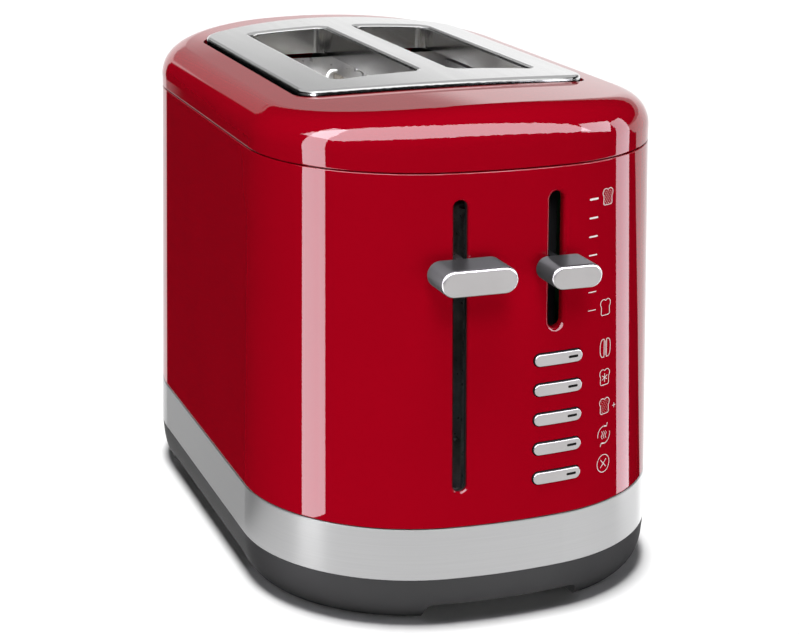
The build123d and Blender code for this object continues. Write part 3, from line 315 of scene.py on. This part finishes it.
span = np.linspace(-FLOOR_HALF, FLOOR_HALF, FLOOR_CELLS + 1)
floor_x, floor_y = np.meshgrid(span, span)
floor_z = np.maximum(np.hypot(floor_x, floor_y) - FLAT_RADIUS, 0.0) ** 2 / (2 * CURVE)
floor = bare_mesh("table_sheet", *plain_grid(np.stack([floor_x, floor_y, floor_z], axis=-1) * MM))
floor.data.polygons.foreach_set("use_smooth", np.ones(len(floor.data.polygons), bool))
sheet_finish = bpy.data.materials.new("table_sheet")
sheet_finish.use_nodes = True
sheet_shader = sheet_finish.node_tree.nodes["Principled BSDF"]
sheet_shader.inputs["Base Color"].default_value = SHEET_WHITE
sheet_shader.inputs["Roughness"].default_value = 1.0
sheet_shader.inputs["Specular IOR Level"].default_value = 0.0
floor.data.materials.append(sheet_finish)
floor.visible_glossy = False
floor.visible_shadow = False
metal_cards = [
    gloss_card(name, (0.0, y, METAL_CARD_Z), UP, REARWARD, METAL_CARD_SIZE, radiance)
    for name, y, radiance in METAL_CARDS
]
print("table sheet:", 2 * FLOOR_HALF, "mm square")

# %% [markdown]
# ## Shared effects: grain and mottle
# Several finishes need the same two effects. Brushing leaves streaks that are long one way and hair-thin the
# other: a noise that is stretched by scaling its coordinates. Rolled sheet, mica and plastic are never one
# even tone: a broad soft noise shifts them slightly. In the chassis steel the mottle is strong and is partly
# painted reflection: pale patches that stand in for the patchy gloss of the sheet. Each effect is a node
# group, made once and set differently in each finish.

# %% Node groups
STREAK_DETAIL = 4.0
MOTTLE_DETAIL = 5.0


def effect_group(name, inputs, output):
    """Empty node group with a vector input, named number inputs with defaults, and one number output."""
    group = bpy.data.node_groups.new(name, "ShaderNodeTree")
    group.interface.new_socket("Vector", in_out="INPUT", socket_type="NodeSocketVector")
    for socket_name, value in inputs.items():
        socket = group.interface.new_socket(socket_name, in_out="INPUT", socket_type="NodeSocketFloat")
        socket.default_value = value
    group.interface.new_socket(output, in_out="OUTPUT", socket_type="NodeSocketFloat")
    return group, group.nodes.new("NodeGroupInput"), group.nodes.new("NodeGroupOutput")


def noise_node(tree, vector, detail):
    """Noise texture of a scale of one on a vector; gives the node."""
    node = tree.nodes.new("ShaderNodeTexNoise")
    node.inputs["Scale"].default_value = 1.0
    node.inputs["Detail"].default_value = detail
    tree.links.new(vector, node.inputs["Vector"])
    return node


streaks, streaks_in, streaks_out = effect_group("brush_streaks", {"X": 20.0, "Y": 20.0, "Z": 2500.0}, "Streaks")
scales = streaks.nodes.new("ShaderNodeCombineXYZ")
for axis in "XYZ":
    streaks.links.new(streaks_in.outputs[axis], scales.inputs[axis])
stretched = streaks.nodes.new("ShaderNodeVectorMath")
stretched.operation = "MULTIPLY"
streaks.links.new(streaks_in.outputs["Vector"], stretched.inputs[0])
streaks.links.new(scales.outputs["Vector"], stretched.inputs[1])
streak_noise = noise_node(streaks, stretched.outputs["Vector"], STREAK_DETAIL)
streaks.links.new(streak_noise.outputs["Fac"], streaks_out.inputs["Streaks"])

mottle, mottle_in, mottle_out = effect_group("soft_mottle", {"Scale": 60.0, "Low": 0.3, "High": 0.7}, "Mottle")
spread = mottle.nodes.new("ShaderNodeVectorMath")
spread.operation = "SCALE"
mottle.links.new(mottle_in.outputs["Vector"], spread.inputs[0])
mottle.links.new(mottle_in.outputs["Scale"], spread.inputs["Scale"])
mottle_noise = noise_node(mottle, spread.outputs["Vector"], MOTTLE_DETAIL)
mottle_range = mottle.nodes.new("ShaderNodeMapRange")
mottle.links.new(mottle_noise.outputs["Fac"], mottle_range.inputs["Value"])
mottle.links.new(mottle_in.outputs["Low"], mottle_range.inputs["From Min"])
mottle.links.new(mottle_in.outputs["High"], mottle_range.inputs["From Max"])
mottle.links.new(mottle_range.outputs["Result"], mottle_out.inputs["Mottle"])
print("effects:", streaks.name, mottle.name)

# %% [markdown]
# ## Finishes
# A finish is a Principled shader whose colour, roughness and surface relief change a little from place to
# place. The same small builder makes each of them: two near tones mixed by the mottle, a range of roughness,
# and a fine relief from streaks or grain. What makes a finish itself (metal, gloss coat, clarity) is set
# straight on the shader.

# %% Finish builder


def place_effect(tree, group, values):
    """Node of a shared effect on Object coordinates with its own values; gives its only output."""
    node = tree.nodes.new("ShaderNodeGroup")
    node.node_tree = group
    place = tree.nodes.new("ShaderNodeTexCoord")
    tree.links.new(place.outputs["Object"], node.inputs["Vector"])
    for name, value in values.items():
        node.inputs[name].default_value = value
    return node.outputs[0]


def finish(name, tones, rough, mottle_scale, grain=None, relief=0.0, **sockets):
    """Finish of two tones and two roughness levels mixed by mottle, with a relief in metres from a grain."""
    material = bpy.data.materials.new(name)
    material.use_nodes = True
    tree = material.node_tree
    shader = tree.nodes["Principled BSDF"]
    patches = place_effect(tree, mottle, {"Scale": mottle_scale})
    tone = tree.nodes.new("ShaderNodeMix")
    tone.data_type = "RGBA"
    tree.links.new(patches, tone.inputs[0])
    tone.inputs[6].default_value = (*tones[0], 1.0)
    tone.inputs[7].default_value = (*tones[1], 1.0)
    tree.links.new(tone.outputs[2], shader.inputs["Base Color"])
    texture = patches
    if grain:
        texture = place_effect(tree, *grain)
    if "Anisotropic" in sockets:
        around = tree.nodes.new("ShaderNodeTangent")
        around.direction_type = "RADIAL"
        tree.links.new(around.outputs["Tangent"], shader.inputs["Tangent"])
        tree.links.new(texture, tone.inputs[0])
    tree.links.new(blend_values(tree, texture, *rough), shader.inputs["Roughness"])
    if relief:
        bump = tree.nodes.new("ShaderNodeBump")
        bump.inputs["Distance"].default_value = relief
        tree.links.new(texture, bump.inputs["Height"])
        tree.links.new(bump.outputs["Normal"], shader.inputs["Normal"])
    for socket, value in sockets.items():
        shader.inputs[socket.replace("_", " ")].default_value = value
    return material


print("finish builder: two tones, two roughness levels, grain and relief")

# %% [markdown]
# ## Which finish goes where
# The record names a slot for every solid: enamel for the shell, satin steel for the plate, brushed steel for
# the band, and so on. The table below makes one finish for each slot, and each solid gets the finish of its
# slot. The enamel is dark to mirror rays, so that the knobs and the edge of the plate stay a neutral grey
# next to it.

# %% Finishes of the solids
ALONG = {"X": 25.0, "Y": 25.0, "Z": 3000.0}
MIRRORED_ENAMEL = (0.01, 0.01, 0.01, 1.0)
FINISHES = {
    "red_enamel": finish(
        "red_enamel", ((0.31, 0.0005, 0.008), (0.325, 0.0005, 0.0085)), (0.45, 0.55), 15.0,
        Specular_IOR_Level=0.0, Coat_Weight=1.0, Coat_Roughness=0.02, Coat_IOR=1.5,
    ),
    "polished_steel": finish(
        "polished_steel", ((0.70, 0.70, 0.70), (0.73, 0.73, 0.73)), (0.12, 0.20), 40.0,
        (streaks, {"X": 300.0, "Y": 12.0, "Z": 300.0}), Metallic=1.0,
    ),
    "brushed_band": finish(
        "brushed_band", ((0.595, 0.595, 0.60), (0.69, 0.69, 0.695)), (0.34, 0.46), 30.0,
        (streaks, ALONG), 0.000004, Metallic=1.0, Anisotropic=0.85, Anisotropic_Rotation=0.25,
    ),
    "base_plastic": finish(
        "base_plastic", ((0.044, 0.044, 0.045), (0.052, 0.052, 0.053)), (0.42, 0.52), 25.0,
        (mottle, {"Scale": 2500.0}), 0.00002,
    ),
    "foot_rubber": finish(
        "foot_rubber", ((0.015, 0.015, 0.015), (0.022, 0.022, 0.022)), (0.75, 0.9), 80.0,
        (mottle, {"Scale": 1500.0}), 0.00003,
    ),
    # Chassis steel: partly the uneven tone of rolled sheet, partly painted reflection in its wide pale mottle.
    "chassis_steel": finish(
        "chassis_steel", ((0.55, 0.55, 0.56), (0.86, 0.86, 0.86)), (0.25, 0.42), 90.0,
        (mottle, {"Scale": 300.0}), 0.00001, Metallic=0.35,
    ),
    "mica": finish(
        "mica", ((0.24, 0.22, 0.18), (0.36, 0.33, 0.27)), (0.35, 0.55), 120.0,
        (mottle, {"Scale": 400.0}), 0.00003,
    ),
    # Black plastic: its own colour, darkened further as painted shade so that the inside of the lever slot
    # stays black.
    "black_plastic": finish(
        "black_plastic", ((0.004, 0.004, 0.004), (0.006, 0.006, 0.006)), (0.6, 0.7), 60.0,
        (mottle, {"Scale": 2000.0}), 0.00002,
    ),
    "copper_wire": finish(
        "copper_wire", ((0.42, 0.15, 0.05), (0.52, 0.21, 0.08)), (0.25, 0.35), 60.0,
        (streaks, {"X": 30.0, "Y": 30.0, "Z": 3500.0}), 0.00008, Metallic=1.0,
    ),
    "circuit_board": finish(
        "circuit_board", ((0.012, 0.10, 0.035), (0.020, 0.14, 0.05)), (0.3, 0.4), 200.0,
        (mottle, {"Scale": 600.0}), 0.00002,
    ),
    "satin_metal": finish(
        "satin_metal", ((0.48, 0.465, 0.46), (0.52, 0.505, 0.50)), (0.28, 0.36), 60.0,
        (mottle, {"Scale": 2500.0}), 0.0000004, Metallic=1.0,
    ),
    "indicator_lens": finish(
        "indicator_lens", ((0.012, 0.012, 0.012), (0.016, 0.016, 0.016)), (0.12, 0.2), 100.0,
    ),
}
enamel = FINISHES["red_enamel"].node_tree
enamel_colour = enamel.nodes["Principled BSDF"].inputs["Base Color"]
mirrored = enamel.nodes.new("ShaderNodeMix")
mirrored.data_type = "RGBA"
mirrored.inputs[7].default_value = MIRRORED_ENAMEL
enamel.links.new(enamel.nodes.new("ShaderNodeLightPath").outputs["Is Glossy Ray"], mirrored.inputs[0])
enamel.links.new(enamel_colour.links[0].from_socket, mirrored.inputs[6])
enamel.links.new(mirrored.outputs[2], enamel_colour)
for entry in frame["record"]["subparts"]:
    solid = frame["nodes"][entry["node"]]
    solid.data.materials.clear()
    solid.data.materials.append(FINISHES[entry["material_slot"]])

# %% [markdown]
# ## Which light reaches what
# Light linking gives a lamp a list of the objects that it lights, and another of those that throw its shadow.
# The dimmer cards are for the plate, the band and the crumb tray, the white cards below are for metal only,
# and the lamp at the camera leaves the inside of the toaster dark, the arm of the lever too. The crumb tray
# slides out of the toaster, so it is lit as the outside is. The knobs are also kept out of the gloss of the
# wall behind them, as a retoucher would do it.

# %% Light linking
OUTSIDE = (
    "red_enamel", "polished_steel", "brushed_band", "base_plastic", "satin_metal", "indicator_lens",
    "foot_rubber",
)
METALS = ("polished_steel", "brushed_band", "satin_metal", "chassis_steel")


def link_group(name, objects):
    """Collection of objects for light linking, outside the scene's own tree of collections."""
    group = bpy.data.collections.new(name)
    for member in objects:
        group.objects.link(member)
    return group


def solids_in(*slots):
    """Solids whose slot in the record is one of these."""
    entries = [entry for entry in frame["record"]["subparts"] if entry["material_slot"] in slots]
    return [frame["nodes"][entry["node"]] for entry in entries]


outside = link_group("outside", solids_in(*OUTSIDE))
arm = frame["nodes"]["lever_arm"]
tray = frame["nodes"]["crumb_tray"]
outside.objects.link(tray)
in_slots = [solid for solid in solids_in("chassis_steel", "mica") if solid not in (arm, tray)]
inside = link_group("inside", in_slots)
metals = link_group("metals", solids_in(*METALS))
soft = link_group("soft", solids_in("brushed_band", "polished_steel") + [tray])
bright = link_group("bright", [solid for solid in frame["nodes"].values() if solid.name not in soft.objects])
table = link_group("table", [floor])
toaster = link_group("toaster", [solid for solid in frame["nodes"].values() if solid != arm])
lamps["overhead_lamp"].light_linking.receiver_collection = toaster
lamps["camera_lamp"].light_linking.receiver_collection = outside
lamps["slot_lamp"].light_linking.receiver_collection = inside
lamps["table_lamp"].light_linking.receiver_collection = table
base = link_group("base", solids_in("base_plastic", "foot_rubber"))
lamps["table_lamp"].light_linking.blocker_collection = base
for card in metal_cards:
    card.light_linking.receiver_collection = metals
for card in cards:
    card.data.color = CARD_TINT
    card.light_linking.receiver_collection = bright
for card in soft_cards:
    card.light_linking.receiver_collection = soft
for solid in solids_in("satin_metal"):
    solid.visible_glossy = False

# %% [markdown]
# ## The front wall as a surface
# The printed marks lie on a wall that bows outwards and leans in. Its outline in plan is a wide arc in the
# middle and a tighter arc at each corner, and the whole outline grows towards the table. A mark is drawn
# flat, with a place across and a height, and this function says how far forward the wall is there.

# %% Wall of the body
PARTING_HEIGHT = 186.78
DRAFT = math.tan(math.radians(1.54))
END_RADIUS = 200.0
END_CENTRE = 58.4
CORNER_RADIUS = 69.6
CORNER_X = 16.3
CORNER_Y = math.sqrt((END_RADIUS - CORNER_RADIUS) ** 2 - CORNER_X**2) - END_CENTRE


def front_wall(x, z):
    """Y of the front wall: the end arc in the middle, and the corner arc past the point where the two join."""
    grown = (PARTING_HEIGHT - z) * DRAFT
    end = END_RADIUS + grown
    corner = CORNER_RADIUS + grown
    join = CORNER_X / (END_RADIUS - CORNER_RADIUS) * end
    across = np.abs(x)
    on_end = END_CENTRE - np.sqrt(end**2 - np.minimum(across, join) ** 2)
    beyond = np.clip(across - CORNER_X, 0.0, corner)
    on_corner = -CORNER_Y - np.sqrt(corner**2 - beyond**2)
    return np.where(across <= join, on_end, on_corner)


print("front wall at mid height:", np.round(front_wall(np.array([0.0, 45.0]), 120.0), 2), "mm")

# %% [markdown]
# ## Printed marks
# Beside the browning slot stands a scale of seven ticks that get bolder upwards, and beside each button a
# small sign. A printed line is a very thin ribbon with round ends. The ribbon is a profile carried along a
# path: the path gives points and directions, and the half width at a distance s from an end of a line w wide
# is sqrt(s (w - s)) near the ends, which draws a half circle, and w / 2 between them.

# %% Ink ribbons
INK_PROUD = 0.04
INK_SUNK = 0.03
INK_STEP = 0.35
CAP_REACH = (1.0, 0.92, 0.71, 0.38)


def even_path(points, step):
    """The same path with points an even step apart along it."""
    points = np.asarray(points, float)
    lengths = np.r_[0.0, np.cumsum(np.linalg.norm(np.diff(points, axis=0), axis=1))]
    count = max(int(lengths[-1] / step) + 1, 2)
    along = np.linspace(0.0, lengths[-1], count)
    return np.column_stack([np.interp(along, lengths, points[:, axis]) for axis in (0, 1)])


def ink_ribbon(points, width):
    """Closed ribbon along a path on the wall: edges at plus and minus the half width, rounded ends."""
    path = even_path(points, INK_STEP)
    way = np.gradient(path, axis=0)
    way /= np.linalg.norm(way, axis=1, keepdims=True)
    cap = width / 2 * np.array(CAP_REACH)
    path = np.vstack([path[0] - cap[:, None] * way[0], path, path[-1] + cap[::-1, None] * way[-1]])
    way = np.vstack([np.repeat(way[:1], len(cap), 0), way, np.repeat(way[-1:], len(cap), 0)])
    half = np.full(len(path), width / 2)
    half[: len(cap)] = np.sqrt((width / 2) ** 2 - cap**2)
    half[-len(cap) :] = half[: len(cap)][::-1]
    side = np.column_stack([-way[:, 1], way[:, 0]]) * half[:, None]
    edges = ((side, -INK_PROUD), (-side, -INK_PROUD), (-side, INK_SUNK), (side, INK_SUNK), (side, -INK_PROUD))
    rows = []
    for edge, lift in edges:
        flat = path + edge
        rows.append(np.column_stack([flat[:, 0], front_wall(flat[:, 0], flat[:, 1]) + lift, flat[:, 1]]))
    return plain_grid(np.stack(rows))


print("ink stands", INK_PROUD, "mm proud of the wall")

# %% [markdown]
# Each sign is a handful of such lines, drawn about zero and then moved to its place. A slice of bread is a
# box with small round corners below and two round lobes on top, all of them arcs. Rings and arrows are arcs
# of circles too. The wall turns away at the signs, so that a millimetre along it is only nine tenths of a
# millimetre across.

# %% Signs
ACROSS = 0.9
SLICE_WIDTH = 6.2
SLICE_HEIGHT = 6.6
SLICE_LOBE = 1.75
SLICE_NECK = 0.5
SLICE_CORNER = 0.8
ARC_POINTS = 40
CRUMB_SHARE = (0.8, 0.84)
CRUMB_LENGTH = 0.05
CRUMB_DROP = 0.25
BUN_INNER = 0.75
BUN_REACH = 2.45
BUN_RISE = 3.8
BUN_CUT = 3.0
ARROW_STARTS = (65.0, 245.0)
ARROW_SWEEP = 125.0
ARROW_BARB = 1.4
BARB_TURNS = (5.0, 115.0)
STEAM_POINTS = 24
STEAM_RISE = 1.6
STEAM_SWAY = 0.35
STEAM_RATE = 2.4
STEAM_PLACES = (-1.2, 0.0, 1.2)


def arc_path(radius, start, end):
    """Arc of a circle about zero between two angles in degrees."""
    turn = np.radians(np.linspace(start, end, ARC_POINTS))
    return radius * np.column_stack([np.cos(turn), np.sin(turn)])


def slice_path():
    """Outline of a slice: arcs of two lobes that meet in a dip, then of the two lower corners, closed."""
    corner = SLICE_WIDTH / 2 - SLICE_NECK - SLICE_CORNER
    foot = SLICE_CORNER - SLICE_HEIGHT / 2
    lobe_x, lobe_z = SLICE_WIDTH / 2 - SLICE_LOBE, SLICE_HEIGHT / 2 - SLICE_LOBE
    outline = [
        arc_path(SLICE_LOBE, -50.0, 140.0) + (lobe_x, lobe_z),
        arc_path(SLICE_LOBE, 40.0, 230.0) + (-lobe_x, lobe_z),
        arc_path(SLICE_CORNER, 180.0, 270.0) + (-corner, foot),
        arc_path(SLICE_CORNER, 270.0, 360.0) + (corner, foot),
    ]
    return np.vstack([*outline, outline[0][:1]])


def star_paths(radius, arms, first=90.0):
    """Straight lines through zero, evenly turned from a first angle in degrees."""
    turn = np.pi * np.arange(arms) / arms + math.radians(first)
    return [np.array([-end, end]) for end in radius * np.column_stack([np.cos(turn), np.sin(turn)])]


def crumb_dots(columns, rows):
    """Very short dashes on a lattice inside a slice, every second row shifted by half a step."""
    step_a = SLICE_WIDTH * CRUMB_SHARE[0] / columns
    step_b = SLICE_HEIGHT * CRUMB_SHARE[1] / rows
    row, column = np.divmod(np.arange(columns * rows), columns)
    place = np.column_stack([
        (column - (columns - 1) / 2 + 0.5 * (row % 2) - 0.25) * step_a,
        (row - (rows - 1) / 2) * step_b - CRUMB_DROP,
    ])
    return [np.array([dot, dot + (CRUMB_LENGTH, 0.0)]) for dot in place]


def bun_halves():
    """A cut bun: two half ovals, root of a cosine across and a sine upwards, with a thin line between them."""
    turn = np.linspace(-np.pi / 2, np.pi / 2, ARC_POINTS)
    bulge = np.sqrt(np.cos(turn).clip(0.0))
    half = np.column_stack([BUN_INNER + BUN_REACH * bulge, BUN_RISE * np.sin(turn)])
    half = np.vstack([half, half[:1]])
    return [half, half * (-1.0, 1.0), np.array([(0.0, -BUN_CUT), (0.0, BUN_CUT)])]


def round_arrows(radius):
    """Two arcs that chase each other, each with a barbed head."""
    paths = []
    for start in ARROW_STARTS:
        paths.append(arc_path(radius, start, start + ARROW_SWEEP))
        tip = paths[-1][0]
        for turn in BARB_TURNS:
            barb = arc_path(ARROW_BARB, start + turn, start + turn)[0]
            paths.append(np.array([tip, tip + barb]))
    return paths


def steam_waves():
    """Three short upright waves: a sine across, carried upwards."""
    rise = np.linspace(-STEAM_RISE, STEAM_RISE, STEAM_POINTS)
    sway = STEAM_SWAY * np.sin(STEAM_RATE * rise)
    return [np.column_stack([offset + sway, rise]) for offset in STEAM_PLACES]


print("slice outline:", len(slice_path()), "points")

# %% [markdown]
# Now every line gets its place on the wall and its width: seven ticks with a slice at each end of the scale,
# and one sign to the right of each button.

# %% Lines of ink
LINE = 0.27
THIN = 0.2
DOT = 0.3
SCALE_X = 45.0
SIGN_X = 45.7
SIGN_SHIFT = 0.3
PLUS_X = 51.35
BUTTON_TOP = 108.18
BUTTON_PITCH = 12.47
TICK_RANGE = (35.8, 39.5)
TICKS = 7
TICK_TOP = 171.2
TICK_PITCH = 7.625
TICK_WEIGHTS = (0.80, 0.28)
CRUMBS = (4, 7)
FLAKE_RADIUS = 1.7
FLAKE_DROP = 0.2
PLUS_RADIUS = 0.9
PLUS_DROP = 1.1
RING_RADIUS = 3.8
CROSS_RADIUS = 2.3


def placed(paths, x, z, width):
    """Paths drawn about zero, moved to a place on the wall, as (points, width) lines."""
    return [(np.column_stack([x + ACROSS * path[:, 0], z + path[:, 1]]), width) for path in paths]


ink = []
for step, weight in enumerate(np.linspace(*TICK_WEIGHTS, TICKS)):
    tick_z = TICK_TOP - step * TICK_PITCH
    ink.append((np.array([(TICK_RANGE[0], tick_z), (TICK_RANGE[1], tick_z)]), weight))
ink += placed([slice_path()], SCALE_X, TICK_TOP, LINE)
ink += placed(crumb_dots(*CRUMBS), SCALE_X, TICK_TOP, DOT)
ink += placed([slice_path()], SCALE_X, TICK_TOP - (TICKS - 1) * TICK_PITCH, LINE)
bun_z, frozen_z, extra_z, warm_z, stop_z = BUTTON_TOP - BUTTON_PITCH * np.arange(5)
ink += placed(bun_halves(), SIGN_X - SIGN_SHIFT, bun_z, LINE)
ink += placed([slice_path()], SIGN_X - SIGN_SHIFT, frozen_z, LINE)
ink += placed(star_paths(FLAKE_RADIUS, 3), SIGN_X - SIGN_SHIFT, frozen_z - FLAKE_DROP, LINE)
ink += placed([slice_path()], SIGN_X, extra_z, LINE)
ink += placed(crumb_dots(*CRUMBS), SIGN_X, extra_z, THIN)
ink += placed(star_paths(PLUS_RADIUS, 2), PLUS_X, extra_z - PLUS_DROP, LINE)
ink += placed(round_arrows(RING_RADIUS), SIGN_X, warm_z, LINE)
ink += placed(steam_waves(), SIGN_X, warm_z, THIN)
ink += placed([arc_path(RING_RADIUS, 0.0, 360.0)], SIGN_X, stop_z, LINE)
ink += placed(star_paths(CROSS_RADIUS, 2, 45.0), SIGN_X, stop_z, LINE)
print("ink lines:", len(ink))

# %% [markdown]
# ## From patches to one piece
# A piece is often made of several patches. They are joined end to end, points that lie together are welded,
# and the faces are turned outwards. The piece then rides on a body of the toaster, so that it moves when that
# body does.

# %% Piece builder
WELD = 0.002
SHARP_ANGLE = 40.0


def add_piece(name, patches, body, material):
    """One welded mesh from patches of (points, faces), riding on a body, with a finish."""
    starts = np.cumsum([0] + [len(points) for points, _ in patches[:-1]])
    points = to_metres(np.concatenate([points for points, _ in patches]))
    faces = np.concatenate([faces + start for (_, faces), start in zip(patches, starts)])
    piece = bare_mesh(name, points, faces)
    shell = bmesh.new()
    shell.from_mesh(piece.data)
    bmesh.ops.remove_doubles(shell, verts=shell.verts, dist=WELD * MM)
    bmesh.ops.recalc_face_normals(shell, faces=shell.faces)
    open_edges = sum(not edge.is_manifold for edge in shell.edges)
    shell.to_mesh(piece.data)
    shell.free()
    piece.data.polygons.foreach_set("use_smooth", np.ones(len(piece.data.polygons), bool))
    piece.data.set_sharp_from_angle(angle=math.radians(SHARP_ANGLE))
    piece.data.materials.append(material)
    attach(piece, body)
    print(name, "faces:", len(piece.data.polygons), "open edges:", open_edges)
    return piece


ink_finish = finish("print_ink", ((0.80, 0.74, 0.74), (0.86, 0.80, 0.80)), (0.4, 0.5), 300.0)
marks = add_piece("printed_marks", [ink_ribbon(*line) for line in ink], "housing", ink_finish)
outside.objects.link(marks)
toaster.objects.link(marks)

# %% [markdown]
# ## Heating ribbon
# Each mica card is wound with a flat ribbon that runs up one face, over a notch, and down the other. One turn
# is a loop in the upright plane across the card, a stadium as thin as the card, and the ribbon is a flat bar
# carried round it. The turns differ only in their place along the card, so one function draws them all.

# %% Heater windings
SLOT_SPACING = 52.0
CHAMBER = (-63.5, 80.0)
CARD_Z = (52.0, 188.78)
NOTCH_PITCH = 9.0
NOTCH_DEPTH = 1.3
RIBBON_WIDTH = 1.8
RIBBON_THICKNESS = 0.16
LOOP_RADIUS = 0.62
BEND_POINTS = 7


def ribbon_turn(x, y):
    """A flat bar carried round a stadium in the XZ plane: two straight runs and two half circles."""
    low = CARD_Z[0] + NOTCH_DEPTH + LOOP_RADIUS
    high = CARD_Z[1] - NOTCH_DEPTH - LOOP_RADIUS
    bend = np.linspace(0.0, np.pi, BEND_POINTS)
    turn = np.r_[bend, bend + np.pi, 0.0]
    middle = np.r_[np.full(BEND_POINTS, high), np.full(BEND_POINTS, low), high]
    out = np.column_stack([np.cos(turn), np.sin(turn)])
    rows = []
    for grow, side in ((0.0, -1), (RIBBON_THICKNESS, -1), (RIBBON_THICKNESS, 1), (0.0, 1), (0.0, -1)):
        ring = (LOOP_RADIUS + grow) * out
        edge = np.full(len(turn), y + side * RIBBON_WIDTH / 2)
        rows.append(np.column_stack([x + ring[:, 0], edge, middle + ring[:, 1]]))
    return plain_grid(np.stack(rows))


turns = int((CHAMBER[1] - CHAMBER[0]) / NOTCH_PITCH) - 1
turn_places = sum(CHAMBER) / 2 + (np.arange(turns) - (turns - 1) / 2) * NOTCH_PITCH
ribbon_finish = finish(
    "heating_ribbon", ((0.30, 0.29, 0.28), (0.40, 0.38, 0.36)), (0.3, 0.45), 150.0,
    (mottle, {"Scale": 500.0}), 0.00001, Metallic=1.0,
)
for name, centre in (("left", -SLOT_SPACING), ("centre", 0.0), ("right", SLOT_SPACING)):
    windings = [ribbon_turn(centre, place) for place in turn_places]
    inside.objects.link(add_piece(f"{name}_heater_ribbon", windings, "housing", ribbon_finish))
